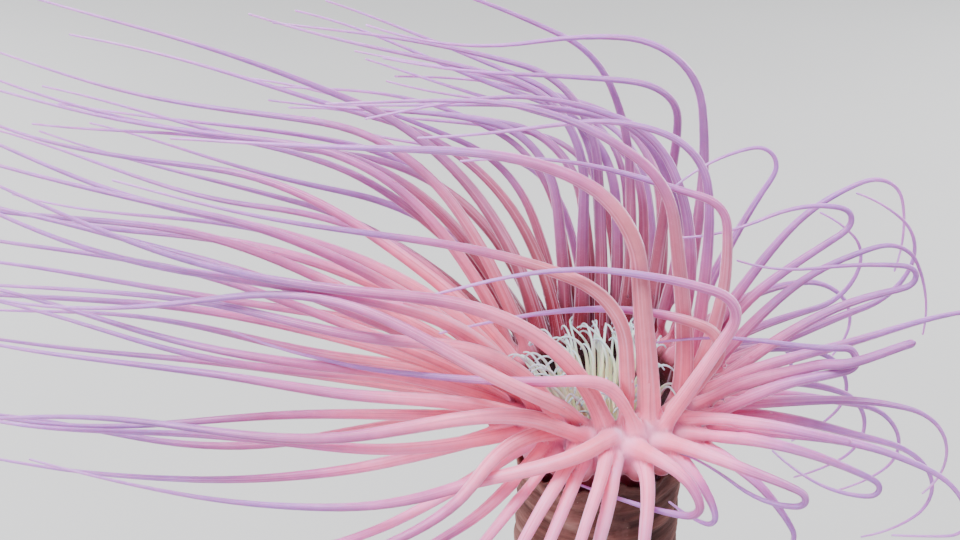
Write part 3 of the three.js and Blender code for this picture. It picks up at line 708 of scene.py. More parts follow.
def add_rings(mesh, rings, tints, stripes, level, lines=(1, 1)):
    """Adds the wall through rings of points; level is each ring's height in the bake map."""
    start = mesh.put(rings, tints, stripes)
    quads, ring_of, turn = lattice(*np.shape(rings)[:2])
    flow = np.stack([turn * lines[0], ring_of / (len(level) - 1) * lines[1]], -1)
    mesh.face(quads + start, np.stack([0.01 + 0.98 * turn, level[ring_of]], -1), flow)


# the bake map: tentacles in upright strips (strips in a row, foot of the first row, rise to the next,
# height), with the body above them and the column below
STRIPS = {"marginal": (32, 0.02, 0.255, 0.24), "labial": (64, 0.79, 0.035, 0.03)}
COLUMN_STRIP = (0.002, 0.016)
EDGE_TURN = 0.15
FLOW_PER_MM = 0.1


def strip_uv(one, turn, share):
    """A place in a tentacle's own strip of the bake map."""
    columns, foot, rise, tall = STRIPS[one.kind]
    row, column = divmod(one.strip, columns)
    u = (column + 0.08 + 0.84 * (turn + EDGE_TURN) / (1 + 2 * EDGE_TURN)) / columns
    v = foot + rise * row + tall * (0.03 + 0.94 * np.clip(share, 0, 1))
    return np.stack([u, v], -1)


def flow_uv(one, turn, mm):
    """A place in the map that the fine lines follow, along each tentacle."""
    return np.stack([turn + one.n * 0.37, mm * FLOW_PER_MM], -1)


# radii of the rings of a rounded tip, as shares of the radius before it
CAP = (0.87, 0.5)
LABIAL_FOOT = 1.35


def sections_of(one, start_mm):
    """Rows for a tube's rings: place, tangent and two sides in threes, then radius, share and arc."""
    rows = np.column_stack([one.path, *one.frames, round_radius(one, one.shares), one.shares, one.arc])
    if start_mm > 0:
        k = int(np.searchsorted(one.arc, start_mm + 0.5))
        rows = np.concatenate([at_places([start_mm], one.arc, rows), rows[k:]])
    if one.kind == "labial":
        foot = rows[0].copy()
        foot[:3] -= foot[3:6] * LABIAL_SINK
        foot[12:] = foot[12] * LABIAL_FOOT, 0, -LABIAL_SINK
        rows = np.concatenate([[foot], rows])
    tip = rows[-1, 12]
    for shrink in CAP:
        cap = rows[-1].copy()
        cap[:3] += cap[3:6] * tip * 0.5
        cap[12:] = tip * shrink, 1, cap[14] + tip * 0.5
        rows = np.concatenate([rows, [cap]])
    return rows


def add_tube(mesh, one, sides, start_mm, open_root):
    """A round tapering tube with a rounded tip. Returns its first vertex."""
    rows = sections_of(one, start_mm)
    path, tangent, side, other = (rows[:, 3 * k:3 * k + 3] for k in range(4))
    radius, shares, arc = rows[:, 12:].T
    rings = len(rows)
    angle = angles(sides)[None, :, None]
    wide = radius[:, None, None]
    ring = path[:, None] + side[:, None] * (np.cos(angle) * wide) + other[:, None] * (np.sin(angle) * wide)
    lined = float(one.kind == "marginal")
    start = mesh.put(ring, np.repeat(tentacle_tint(one, shares), sides, 0), lined)
    quads, ring_of, turn = lattice(rings, sides)
    mesh.face(quads + start, strip_uv(one, turn, shares[ring_of]), flow_uv(one, turn, arc[ring_of]))
    j = np.arange(sides)
    n = (j + 1) % sides
    turn = np.stack([j, j + 1, j + 0.5], 1) / sides
    ends = [((rings - 1) * sides, path[-1] + tangent[-1] * radius[-3] * 0.3, 1.0, j, n)]
    if not open_root:
        ends.append((0, path[0], 0.0, n, j))
    for offset, place, share, a, b in ends:
        last = start + offset
        middle = mesh.put(place, tentacle_tint(one, np.array([share])), lined)
        fan = np.stack([last + a, last + b, np.full(sides, middle)], 1)
        level = np.full((sides, 3), share)
        mesh.face(fan, strip_uv(one, turn, level), flow_uv(one, turn, level * one.length))
    return start


# ---- the flesh round the roots, as one blended surface ----
CELL = 0.66
BLEND = 0.28
FAR_OFF = 30.0
TABLE_STEP = 0.25
CUT_MM = 12.0
EDGE_MM = CUT_MM + 1.0
ON_ROOT = 1.5
ROOT_PLACES = 40
ROOT_SWELL = 0.4
ROOT_SWELL_MM = 2.5
STALK_IN = 0.93
STALK_DROP = 4.5
ZONE_LO = np.array([-40.0, -40.0, 150.0])
ZONE_HI = np.array([40.0, 40.0, 186.0])
CORNERS = [(i, j, k) for i in (0, 1) for j in (0, 1) for k in (0, 1)]
# depths of the ribs below, the folds at the margin and the furrows in the disc
RIB, FOLD, FURROW = 0.22, 0.4, 0.16
# the mouth's half length and half width, and its floor
SLIT_X, SLIT_Y, SLIT_Z = 2.3, 0.95, 161.5
# distance out and height: the column's top, the margin, the mouth disc and the lips
BODY = [
    (0, 152), (15.0, 152), (15.2, 156), (17.2, 159), (20.8, 160.6), (22.5, 162.6), (22.3, 164.4),
    (20.6, 166.1), (18.2, 166.9), (15.9, 166.3), (13.6, 164.9), (10.6, 163.7), (4.2, 163.5),
    (3.3, 164.7), (2.2, 165.3), (1.2, 164.4), (0, 163.6),
]


def polygon_distance(outline, r, z):
    """Signed distance to a closed outline, below zero inside."""
    p = np.stack([r.ravel(), z.ravel()], 1)
    best = np.full(len(p), 1e9)
    inside = np.zeros(len(p), bool)
    corners = np.array(outline, float)
    for a, b in zip(corners, np.roll(corners, -1, 0)):
        d = b - a
        t = np.clip(((p - a) @ d) / max(d @ d, 1e-9), 0, 1)
        if not (a[0] == 0 and b[0] == 0):
            best = np.minimum(best, row_lengths(p - a - t[:, None] * d))
        crosses = (a[1] > p[:, 1]) != (b[1] > p[:, 1])
        with np.errstate(divide="ignore", invalid="ignore"):
            at = a[0] + (p[:, 1] - a[1]) / (b[1] - a[1]) * (b[0] - a[0])
        inside ^= crosses & (p[:, 0] < at)
    return np.where(inside, -best, best).reshape(r.shape)


def body_field(x, y, z):
    """Signed distance to the body, with its ribs below, folds at the margin and furrows in the disc."""
    out = np.hypot(x, y)
    bearing = np.arctan2(y, x)
    fine = np.arange(0, 62, TABLE_STEP)
    table = polygon_distance(BODY, *np.meshgrid(fine, z, indexing="ij"))
    k = out / TABLE_STEP
    k0 = np.floor(k).astype(int)
    t = (k - k0)[..., None]
    body = table[k0] * (1 - t) + table[k0 + 1] * t
    by_sector = np.cos(bearing * SECTORS)[..., None]
    ribs = np.cos(bearing * 2 * SECTORS)[..., None] * RIB * smooth(160.5, 157, z)
    folds = by_sector * FOLD * (smooth(19, 22, out)[..., None] * smooth(166, 162, z))
    disc = (out < 15) * smooth(4, 8, out)
    furrows = by_sector * FURROW * (disc[..., None] * smooth(160, 162, z))
    return body + ribs - folds + furrows


def chain_distance(points, radii, grid):
    """Signed distance to a run of round tapering spans, over a box of places."""
    best = FAR_OFF
    for a, b, ra, rb in zip(points[:-1], points[1:], radii[:-1], radii[1:]):
        d = b - a
        w = [g - v for g, v in zip(grid, a)]
        t = np.clip((w[0] * d[0] + w[1] * d[1] + w[2] * d[2]) / (d @ d), 0, 1)
        away = (w[0] - t * d[0]) ** 2 + (w[1] - t * d[1]) ** 2 + (w[2] - t * d[2]) ** 2
        best = np.minimum(best, np.sqrt(away) - (ra + (rb - ra) * t))
    return best


def root_field(tentacles):
    """The body and the roots blended, and how much nearer the nearest of them is than the second."""
    size = np.round((ZONE_HI - ZONE_LO) / CELL).astype(int) + 1
    axes = [lo + CELL * np.arange(count) for lo, count in zip(ZONE_LO, size)]
    x, y = np.meshgrid(axes[0], axes[1], indexing="ij")
    body = body_field(x, y, axes[2])
    total = np.exp(-np.clip(body, -9, FAR_OFF) / BLEND)
    nearest = body.copy()
    second = np.full(body.shape, FAR_OFF)
    for one in tentacles:
        stop = int(np.searchsorted(one.arc, CUT_MM + 3)) + 1
        points, arc = one.path[:stop], one.arc[:stop]
        radii = round_radius(one, one.shares[:stop]) * (1 + ROOT_SWELL * np.exp(-(arc / ROOT_SWELL_MM) ** 2))
        stalk = points[0] * (STALK_IN, STALK_IN, 1) - (0, 0, STALK_DROP)
        points = np.concatenate([[stalk], points])
        radii = np.concatenate([radii[:1] * 0.9, radii])
        lo = np.clip(((points.min(0) - 5 - ZONE_LO) / CELL).astype(int), 0, size - 1)
        hi = np.clip(((points.max(0) + 5 - ZONE_LO) / CELL).astype(int) + 1, 1, size)
        box = tuple(slice(a, b) for a, b in zip(lo, hi))
        root = chain_distance(points, radii, np.ix_(*(axis[part] for axis, part in zip(axes, box))))
        total[box] += np.exp(-np.clip(root, -9, FAR_OFF) / BLEND)
        second[box] = np.minimum(second[box], np.maximum(nearest[box], root))
        nearest[box] = np.minimum(nearest[box], root)
    field = -BLEND * np.log(np.maximum(total, 1e-30))
    # roots blend near the body; further out each stands alone, with a gap to the next
    apart = smooth(1.5, 5, body)
    field = field * (1 - apart) + nearest * apart
    gap = CELL * 0.8 * smooth(4, 7, body)
    field = np.maximum(field, gap - (second - nearest) / 2 - 3 * (gap <= 0))
    slit = np.sqrt((x / SLIT_X) ** 2 + (y / SLIT_Y) ** 2) - 1
    mouth = np.maximum(slit[..., None], (SLIT_Z - axes[2]) * 0.8)
    return np.maximum(field, -mouth), second - nearest


def surface_nets(field):
    """A closed quad surface where the field crosses zero, facing the side above zero."""
    inside = field < 0
    n = np.array(field.shape) - 1
    filled = sum(inside[i:n[0] + i, j:n[1] + j, k:n[2] + k].astype(np.int8) for i, j, k in CORNERS)
    active = (filled > 0) & (filled < 8)
    cells = np.argwhere(active)
    index = np.full(active.shape, -1, np.int32)
    index[active] = np.arange(len(cells))
    values = np.stack([field[tuple((cells + c).T)] for c in CORNERS], 1)
    total = np.zeros((len(cells), 3))
    weight = np.zeros(len(cells))
    for u, v in combinations(range(8), 2):
        step = np.subtract(CORNERS[v], CORNERS[u])
        if np.abs(step).sum() == 1:
            fu, fv = values[:, u], values[:, v]
            cross = (fu < 0) != (fv < 0)
            t = np.where(cross, fu / np.where(cross, fu - fv, 1), 0)
            total += (CORNERS[u] + t[:, None] * step) * cross[:, None]
            weight += cross
    points = ZONE_LO + CELL * (cells + total / weight[:, None])
    quads = []
    unit = np.eye(3, dtype=int)
    for axis in range(3):
        low = [slice(1, -1)] * 3
        high = [slice(1, -1)] * 3
        low[axis] = slice(0, -1)
        high[axis] = slice(1, None)
        below, above = inside[tuple(low)], inside[tuple(high)]
        at = np.argwhere(below != above)
        u, v = unit[(axis + 1) % 3], unit[(axis + 2) % 3]
        ring = np.stack([index[tuple((at + step).T)] for step in (0 * u, u, u + v, v)], 1)
        turned_in = ~below[tuple(at.T)]
        ring[turned_in] = ring[turned_in][:, ::-1]
        quads.append(ring)
    return points, np.concatenate(quads)


def sample(field, points):
    """The field's values at points between its places."""
    at = np.clip((points - ZONE_LO) / CELL, 0, np.array(field.shape) - 1.001)
    k = at.astype(int)
    t = at - k
    value = 0
    for corner in CORNERS:
        value = value + np.where(corner, t, 1 - t).prod(1) * field[tuple((k + corner).T)]
    return value


def relax_surface(points, quads, field, rounds):
    """Evens out a surface, bringing it back to where the field is zero."""
    slope = np.gradient(field, CELL)
    for _ in range(rounds):
        total = np.zeros_like(points)
        count = np.zeros(len(points))
        for a, b in ((0, 1), (1, 2), (2, 3), (3, 0)):
            for end, start in ((a, b), (b, a)):
                np.add.at(total, quads[:, end], points[quads[:, start]])
                np.add.at(count, quads[:, end], 1)
        points = 0.4 * points + 0.6 * total / np.maximum(count, 1)[:, None]
        for _ in range(2):
            value = sample(field, points)
            way = np.stack([sample(s, points) for s in slope], 1)
            points = points - way * np.clip(value / np.maximum(dots(way, way), 0.05), -0.4, 0.4)[:, None]
    return points


# the column's own red, made half again lighter just under the margin as painted light against the shadow the
# crown casts there
COLUMN_STOPS = [
    (152, COLUMN_RED * 0.8), (157, COLUMN_RED), (160.5, COLUMN_RED * 1.5), (163.5, ROSE * 0.9),
    (166.5, PALE_PINK),
]
# the root tops at the margin's edge get the painted highlight
DISC_STOPS = [(3.4, DARK), (13.5, DARK), (16.2, MAROON), (18.2, SALMON * 0.8), (20, ROOT_TOP_HIGHLIGHT)]
FAR_DISC_STOPS = [(3.4, DARK), (14, DARK), (17, MAROON), (22, MAROON * 1.3)]


def body_tint(points):
    """Red column, rose margin with root tops painted pale as a highlight except on the far side, dark disc
    and cream lips; maroon on the far side.
    """
    out = np.hypot(points[:, 0], points[:, 1])
    z = points[:, 2]
    far = smooth(-0.1, 0.6, points[:, 1] / np.maximum(out, 1e-6))[:, None]
    top = mix(ramp(out, DISC_STOPS), ramp(out, FAR_DISC_STOPS), far)
    top = mix(top, CREAM * 0.8, smooth(4.4, 3.4, out)[:, None])
    over = (smooth(163, 167, z) * smooth(22.5, 19, out))[:, None]
    over = np.maximum(over, ((out < 16) & (z > 160))[:, None] * 1.0)
    return mix(ramp(z, COLUMN_STOPS) * (1 - 0.35 * far), top, over)


def nearest_roots(points, tentacles):
    """For each point the tentacle whose line is nearest, the place along it, and the distance."""
    tree = KDTree(ROOT_PLACES * len(tentacles))
    places = np.linspace(0, CUT_MM + 3.5, ROOT_PLACES)
    for k, one in enumerate(tentacles):
        for i, place in enumerate(at_places(places, one.arc, one.path)):
            tree.insert(Vector(place), k * ROOT_PLACES + i)
    tree.balance()
    found = [tree.find(Vector(p)) for p in points]
    index = np.array([f[1] for f in found])
    return index // ROOT_PLACES, places[index % ROOT_PLACES], np.array([f[2] for f in found])


def on_roots(points, tentacles, apart):
    """Each point's root, place along it, distance off its side, turn, tint with painted shade in the creases
    between roots, and stripe.
    """
    which, mm, away = nearest_roots(points, tentacles)
    reach, turn, stripe = np.zeros((3, len(points)))
    tint = body_tint(points)
    for k, one in enumerate(tentacles):
        own = which == k
        if not own.any():
            continue
        centre, side, other = (at_places(mm[own], one.arc, v) for v in (one.path, *one.frames[1:]))
        d = points[own] - centre
        turn[own] = np.arctan2(dots(d, other), dots(d, side)) / (2 * math.pi) % 1
        share = share_at(one, mm[own])
        reach[own] = away[own] - round_radius(one, share)
        stripe[own] = smooth(1.6, 0.25, reach[own]) * smooth(0.2, 3.2, mm[own])
        tint[own] = mix(tint[own], tentacle_tint(one, share), stripe[own][:, None])
    # painted shade: the tint is darkened in the creases where two roots meet
    crease_shade = smooth(1.1, 0.1, sample(apart, points))[:, None]
    return which, mm, reach, turn, tint * (1 - crease_shade * (0.3, 0.5, 0.42)), stripe


def root_ends(quads, which, mm, turn):
    """The loop of vertices round each root's open end, the way its turn grows, by tentacle."""
    loops = {}
    for loop in open_edges(quads):
        owners = np.bincount(which[loop])
        k = int(owners.argmax())
        round_trip = nearest_turn(np.diff(turn[loop], append=turn[loop[0]])).sum()
        clean = owners[k] == len(loop) and abs(abs(round_trip) - 1) < 0.01 and mm[loop].max() < EDGE_MM
        if clean and k not in loops:
            loops[k] = loop[::-1] if round_trip < 0 else loop
    return loops


def add_roots(mesh, tentacles):
    """The blended surface, open where each tube begins. Returns the openings' edges by tentacle."""
    field, apart = root_field(tentacles)
    points, quads = surface_nets(field)
    points = relax_surface(points, quads, field, 4)
    values = on_roots(points, tentacles, apart)
    mm, reach = values[1:3]
    gone = (mm[quads].mean(1) > CUT_MM) & (reach[quads].mean(1) < ON_ROOT)
    quads = biggest_piece(quads[~gone], len(points))
    used = np.unique(quads)
    quads = np.searchsorted(used, quads)
    points, which, mm, reach, turn, tint, stripe = (v[used] for v in (points, *values))
    start = mesh.put(points, tint, stripe)
    mesh.face(quads + start, *root_maps(tentacles, points, quads, which, mm, reach, turn))
    ends = root_ends(quads, which, mm, turn)
    return {k: (loop + start, turn[loop], mm[loop]) for k, loop in ends.items()}


def root_maps(tentacles, points, quads, which, mm, reach, turn):
    """Places in the two maps: a root's own strip where a face lies on it, otherwise the body's chart."""
    home = which[quads[:, 0]]
    strip = (which[quads] == home[:, None]).all(1) & (reach[quads].mean(1) < 0.7) & (mm[quads].min(1) > 0.6)
    baked, flow = np.zeros((2, len(quads), 4, 2))
    base = turn[quads[:, :1]]
    around = base + nearest_turn(turn[quads] - base)
    around = around - np.floor(around.mean(1, keepdims=True))
    for k, one in enumerate(tentacles):
        own = strip & (home == k)
        if own.any():
            within = np.clip(around[own], 0.01 - EDGE_TURN, 0.99 + EDGE_TURN)
            baked[own] = strip_uv(one, within, share_at(one, mm[quads[own]]))
            flow[own] = flow_uv(one, around[own], mm[quads[own]])
    x, y, z = np.moveaxis(points[quads[~strip]], -1, 0)
    bearing = np.arctan2(y, x) / (2 * math.pi) % 1
    bearing = bearing[:, :1] + nearest_turn(bearing - bearing[:, :1])
    # the turn round the margin's section, from under the swell to the lips
    rise = np.arctan2(z - 158, np.hypot(x, y) - 13)
    v = np.clip((np.degrees(rise) + 85) / 265, 0, 1)
    baked[~strip] = np.stack([0.02 + 0.96 * np.clip(bearing, -0.02, 1.02), 0.87 + 0.125 * v], -1)
    flow[~strip] = np.stack([bearing * 24, v * 6], -1)
    return baked, flow


def biggest_piece(quads, count):
    """The faces of the largest connected piece."""
    label = np.arange(count)
    while True:
        low = label[quads].min(1)
        after = label.copy()
        for i in range(4):
            np.minimum.at(after, quads[:, i], low)
        after = after[after]
        if (after == label).all():
            break
        label = after
    owner = label[quads[:, 0]]
    return quads[owner == np.bincount(owner).argmax()]


def open_edges(quads):
    """Loops of vertices round the holes of a surface."""
    ends = (np.roll(quads, -k, 1).ravel().tolist() for k in range(3))
    after = {(a, b): c for a, b, c in zip(*ends)}
    left = dict.fromkeys(edge for edge in after if (edge[1], edge[0]) not in after)
    loops = []
    while left:
        edge = start = next(iter(left))
        loop = []
        while edge in left:
            del left[edge]
            loop.append(edge[0])
            ahead = (edge[1], after[edge])
            while (ahead[1], ahead[0]) in after:
                ahead = (ahead[0], after[(ahead[1], ahead[0])])
            edge = ahead
        if edge == start:
            loops.append(np.array(loop))
    return loops


def weld(mesh, one, loop, ring, sides):
    """Closes the gap between a root's open edge and the first ring of its tube."""
    first = int(np.argmin(np.abs(nearest_turn(loop[1]))))
    corner, turn, mm = (np.roll(v, -first) for v in loop)
    around = nearest_turn(turn[0]) + running(nearest_turn(np.diff(turn, append=turn[0])))
    count = len(corner)
    again = np.arange(count + 1) % count
    # each end of a face: its vertex, turn, share of the length, and place along the path
    edge = list(zip(corner[again], around, share_at(one, mm[again]), mm[again]))
    rim = [(ring + j % sides, j / sides, share_at(one, EDGE_MM), EDGE_MM) for j in range(sides + 1)]
    faces = []
    i = j = 0
    while i < count or j < sides:
        if j == sides or (i < count and abs(around[i + 1] - j / sides) < abs(around[i] - (j + 1) / sides)):
            faces.append((edge[i], edge[i + 1], rim[j]))
            i += 1
        else:
            faces.append((rim[j + 1], rim[j], edge[i]))
            j += 1
    corner, turn, share, mm = np.moveaxis(np.array(faces), -1, 0)
    mesh.face(corner.astype(int), strip_uv(one, turn, share), flow_uv(one, turn, mm))


def add_column(mesh):
    """The column inside the tube, from the root zone down to its rounded foot."""
    outline = [
        (0.2, 5.4), (6, 5.8), (10.8, 10), (13.6, 20), (14.6, 40), (14.9, 70), (15, 110), (15, 146),
        (15.1, 153.2),
    ]
    r, z = np.array(outline, float).T[..., None]
    level = np.linspace(*COLUMN_STRIP, len(outline))
    add_rings(mesh, rings_of(r, z, 48), COLUMN_RED * 0.8, 0.0, level, (24, 3))


# ---- materials ----
class Paint:
    """A material of one shader, and the nodes that feed it."""

    def __init__(self, name):
        self.material = bpy.data.materials.new(name)
        self.material.use_nodes = True
        self.tree = self.material.node_tree
        self.tree.nodes.clear()
        out = self.tree.nodes.new("ShaderNodeOutputMaterial")
        self.shader = self.tree.nodes.new("ShaderNodeBsdfPrincipled")
        self.tree.links.new(self.shader.outputs[0], out.inputs[0])

    def feed(self, target, sockets):
        """Links outputs to a node's sockets, or sets the sockets' own values."""
        for key, value in sockets.items():
            socket = target.inputs[key]
            if hasattr(value, "is_output"):
                self.tree.links.new(value, socket)
            else:
                socket.default_value = (*value, 1.0) if socket.type == "RGBA" else value

    def node(self, kind, sockets, output=0, **settings):
        made = self.tree.nodes.new("ShaderNode" + kind)
        for key, value in settings.items():
            setattr(made, key, value)
        self.feed(made, sockets)
        return made.outputs[output]

    def attribute(self, name, output):
        return self.node("Attribute", {}, output, attribute_name=name)

    def place(self):
        return self.node("TexCoord", {}, "Object")

    def over(self, kind, vector, scale, **sockets):
        """A texture or mapping node over a vector, at a scale."""
        return self.node(kind, {"Vector": vector, "Scale": scale, **sockets})

    def noise(self, vector, scale, **sockets):
        return self.over("TexNoise", vector, scale, **sockets)

    def times(self, a, b):
        return self.node("Math", {0: a, 1: b}, operation="MULTIPLY")

    def mix(self, factor, a, b, blend="MIX"):
        return self.node("Mix", {0: factor, 6: a, 7: b}, 2, data_type="RGBA", blend_type=blend)

    def stops(self, value, *places):
        """A grey or coloured ramp of two (place, colour) stops."""
        out = self.node("ValToRGB", {0: value})
        for element, (place, colour) in zip(out.node.color_ramp.elements, places):
            element.position = place
            element.color[:3] = np.broadcast_to(colour, 3)
        return out

    def bump(self, *layers):
        """Stacks (height, strength, distance in mm) layers of relief."""
        below = {}
        for height, strength, distance in layers:
            sockets = {"Strength": strength, "Distance": distance * MM, "Height": height, **below}
            below = {"Normal": self.node("Bump", sockets)}
        self.feed(self.shader, below)

    def put_on(self, piece, sockets):
        self.feed(self.shader, sockets)
        piece.data.materials.append(self.material)


def paint_flesh(piece):
    paint = Paint("flesh")
    tint, stripe = paint.attribute("tint", "Color"), paint.attribute("stripe", "Fac")
    place = paint.place()
    flow = paint.node("UVMap", {}, uv_map="Flow")
    mottle = paint.noise(place, 170.0, Detail=4.0, Roughness=0.6)
    colour = paint.mix(1.0, tint, paint.stops(mottle, (0.3, 0.86), (0.7, 1.1)), "MULTIPLY")
    lines = paint.noise(paint.over("Mapping", flow, (22.0, 0.2, 1.0)), 1.0, Detail=3.0, Roughness=0.55)
    pale = paint.times(paint.stops(lines, (0.52, 0.0), (0.68, 1.0)), paint.times(stripe, 0.45))
    colour = paint.mix(pale, colour, rgb(232, 176, 214))
    deep = paint.times(paint.stops(lines, (0.3, 1.0), (0.46, 0.0)), paint.times(stripe, 0.4))
    colour = paint.mix(deep, colour, rgb(150, 60, 92))
    pores = paint.stops(paint.over("TexVoronoi", place, 1500.0), (0.05, 1.0), (0.3, 0.0))
    colour = paint.mix(paint.times(pores, 0.1), colour, PALE_PINK)
    gloss = paint.noise(place, 420.0, Detail=3.0)
    fine = paint.noise(place, 1100.0, Detail=3.0)
    paint.bump((lines, 0.5, 0.12), (fine, 0.35, 0.06), (mottle, 0.3, 0.25))
    paint.put_on(piece, {
        "Base Color": colour,
        "Roughness": paint.stops(gloss, (0.3, 0.4), (0.7, 0.58)),
        "Subsurface Weight": 0.9,
        "Subsurface Radius": (1.0, 0.5, 0.65),
        "Subsurface Scale": 0.002,
        "Specular IOR Level": 0.3,
        "Coat Weight": 0.06,
        "Coat Roughness": 0.2,
        "Sheen Weight": 1.0,
        "Sheen Roughness": 0.3,
        "Sheen Tint": rgb(244, 216, 248),
    })


def paint_parchment(piece):
    paint = Paint("parchment")
    place = paint.place()
    across = paint.over("Mapping", place, (60.0, 60.0, 620.0))
    fibres = paint.noise(across, 1.0, Detail=6.0, Roughness=0.68, Distortion=0.6)
    blotch = paint.noise(place, 70.0, Detail=5.0, Roughness=0.62)
    speck = paint.over("TexVoronoi", place, 900.0)
    tint = paint.attribute("tint", "Color")
    colour = paint.mix(1.0, tint, paint.stops(fibres, (0.32, 0.55), (0.68, 1.35)), "MULTIPLY")
    patch = paint.stops(blotch, (0.52, 0.0), (0.72, 0.55))
    colour = paint.mix(patch, colour, rgb(152, 108, 104))
    colour = paint.mix(paint.stops(blotch, (0.3, 0.5), (0.46, 0.0)), colour, rgb(50, 24, 26))
    grit = paint.stops(speck, (0.04, 0.8), (0.16, 0.0))
    colour = paint.mix(paint.times(grit, patch), colour, rgb(206, 190, 170))
    fine = paint.noise(place, 650.0, Detail=5.0, Roughness=0.7)
    paint.bump((fibres, 0.8, 0.5), (fine, 0.5, 0.25), (speck, 0.2, 0.15))
    rough = paint.stops(fibres, (0.3, 0.92), (0.7, 0.7))
    paint.put_on(piece, {"Base Color": colour, "Roughness": rough, "Specular IOR Level": 0.25})


def paint_stand(piece):
    paint = Paint("stand_satin")
    place = paint.place()
    tone = paint.noise(place, 28.0, Detail=4.0)
    grain = paint.noise(place, 1600.0, Detail=3.0)
    speck = paint.stops(paint.over("TexVoronoi", place, 700.0), (0.05, 0.35), (0.14, 0.0))
    colour = paint.stops(tone, (0.3, rgb(126, 129, 135)), (0.7, rgb(136, 139, 145)))
    colour = paint.mix(speck, colour, rgb(104, 108, 114))
    paint.bump((grain, 0.25, 0.05))
    paint.put_on(piece, {"Base Color": colour, "Roughness": paint.stops(grain, (0.3, 0.42), (0.7, 0.56))})


# ---- the tube of felted threads ----
TUBE_OUT_Z = [5, 20, 40, 54, 78, 104, 128, 147, 152, 155.4]
TUBE_OUT_R = [16.7, 17.0, 17.4, 17.2, 17.6, 17.1, 17.5, 17.3, 17.7, 18.3]
TUBE_LOW, TUBE_LIP = 5.4, 155.4
TUBE_MOST_R = 19.0
TUBE_BORE_R = 15.75
TUBE_THROAT_R = 16.2
FRAY_FROM = 146
FRAY = 0.62


def waves(values, seed, octaves=4, lacunarity=1.9, fade=0.6):
    """Smooth one-dimensional scatter made of sines, about -1 to 1."""
    total = 0
    size = 1.0
    for k in range(octaves):
        total = total + size * np.sin(values * lacunarity ** k + 6.28 * noise(seed, k + 1))
        size *= fade
    return total / 1.8


# waves round the tube: size, waves in a turn, shift, and slant with height
WANDER = [(1.3, 2, 0, 0.07), (0.8, 3, 1.7, 0.11), (0.35, 7, 0, 0.21)]
RAGGED = [(1.1, 4, 0.6, 0), (0.9, 9, 2.1, 0), (0.6, 17, 0, 0), (0.5, 31, 1, 0)]
# rings inside the mouth: how far below the lip, and how far in from it
INNER_RINGS = [(-0.25, 0.35), (0.4, 0.9), (3, 1.25), (10, 1.6), (40, 1.75)]
FELT_STOPS = [(0, rgb(42, 20, 22)), (0.4, rgb(88, 50, 46)), (0.7, rgb(130, 82, 76)), (1, rgb(176, 130, 122))]


def ripples(rows, a, z):
    return sum(size * np.sin(a * count + shift + z * slant) for size, count, shift, slant in rows)


def tube_relief(a, z):
    """Bands across the tube that wander up and down round it, with folds and lumps."""
    band = waves((z + ripples(WANDER, a, z)) * 0.9, 31, 5, 1.73, 0.72)
    fold = np.sin(a * 5 + 0.12 * z + waves(z * 0.2, 33)) * np.sin(z * 0.19 + np.cos(a * 2) * 1.4)
    lump = np.sin(a * 3 + 0.06 * z) * np.sin(z * 0.083 + 1) * 0.35 + 0.2 * np.sin(a * 2 - z * 0.045)
    return 0.3 * band + 0.22 * fold + lump


def tube_piece():
    sides, rings = 168, 250
    a = angles(sides)[None, :]
    z = mix(TUBE_LOW, TUBE_LIP, np.linspace(0, 1, rings))[:, None]
    relief = tube_relief(a, z)
    fade = np.minimum(1, (z - 5) / 6)
    r = np.minimum(np.interp(z, TUBE_OUT_Z, TUBE_OUT_R) + relief * fade * 0.75, TUBE_MOST_R)
    # the mouth is ragged
    top = smooth(FRAY_FROM, TUBE_LIP, z)
    height = z + top * (ripples(RAGGED, a, 0) - 1.6) * FRAY
    r = r + top * 0.35 * np.sin(a * 11 + 0.4)
    layers = list(rings_of(r, height, sides))
    lip = layers[-1]
    out = np.hypot(lip[:, 0], lip[:, 1])
    for down, inward in INNER_RINGS:
        want = np.maximum(out - inward, TUBE_BORE_R)
        if down > 2:
            want = np.minimum(want, TUBE_THROAT_R)
        inner = lip.copy()
        inner[:, :2] *= (want / out)[:, None]
        inner[:, 2] -= down
        layers.append(inner)
    relief = np.concatenate([relief, np.repeat(relief[-1:], len(INNER_RINGS), 0)])
    shade = np.clip(0.5 + 0.6 * relief.ravel(), 0, 1)
    mesh = Mesh()
    add_rings(mesh, layers, ramp(shade, FELT_STOPS), shade, np.linspace(0.01, 0.99, len(layers)))
    return mesh.build("parchment_tube")


# ---- the stand ----
STAND = [
    (0, 0), (30, 0), (54.2, 0), (54.8, 0.25), (55, 0.9), (55, 5.9), (54.85, 6.8), (54.4, 7.5), (53.6, 7.9),
    (52.6, 8), (36, 8), (18.9, 8), (18.3, 7.9), (17.9, 7.6), (17.75, 7.1), (17.7, 5.4), (17.5, 5.05),
    (16, 5), (0, 5),
]


def stand_piece():
    r, z = np.array(STAND, float).T
    r = np.maximum(r, 0.01)
    along = running(np.hypot(np.diff(r), np.diff(z)))
    mesh = Mesh()
    rings = rings_of(r[:, None], z[:, None], 160)
    add_rings(mesh, rings, rgb(60, 62, 66), 0.0, 0.01 + 0.98 * along / along[-1])
    return mesh.build("stand_disc")


# ---- build ----
marginals = marginal_tentacles()
labials = labial_tentacles(LABIAL_ROWS, (200, 10, 3), LABIAL_R, 0)
separate(marginals + labials)
labials += labial_tentacles(EXTRA_ROWS, (300, 20, 5), EXTRA_R, EXTRA_NEAR_CUT)
for kind in (marginals, labials):
    for number, one in enumerate(kind):
        one.strip = number
        smooth_route(one)
settle(marginals + labials)

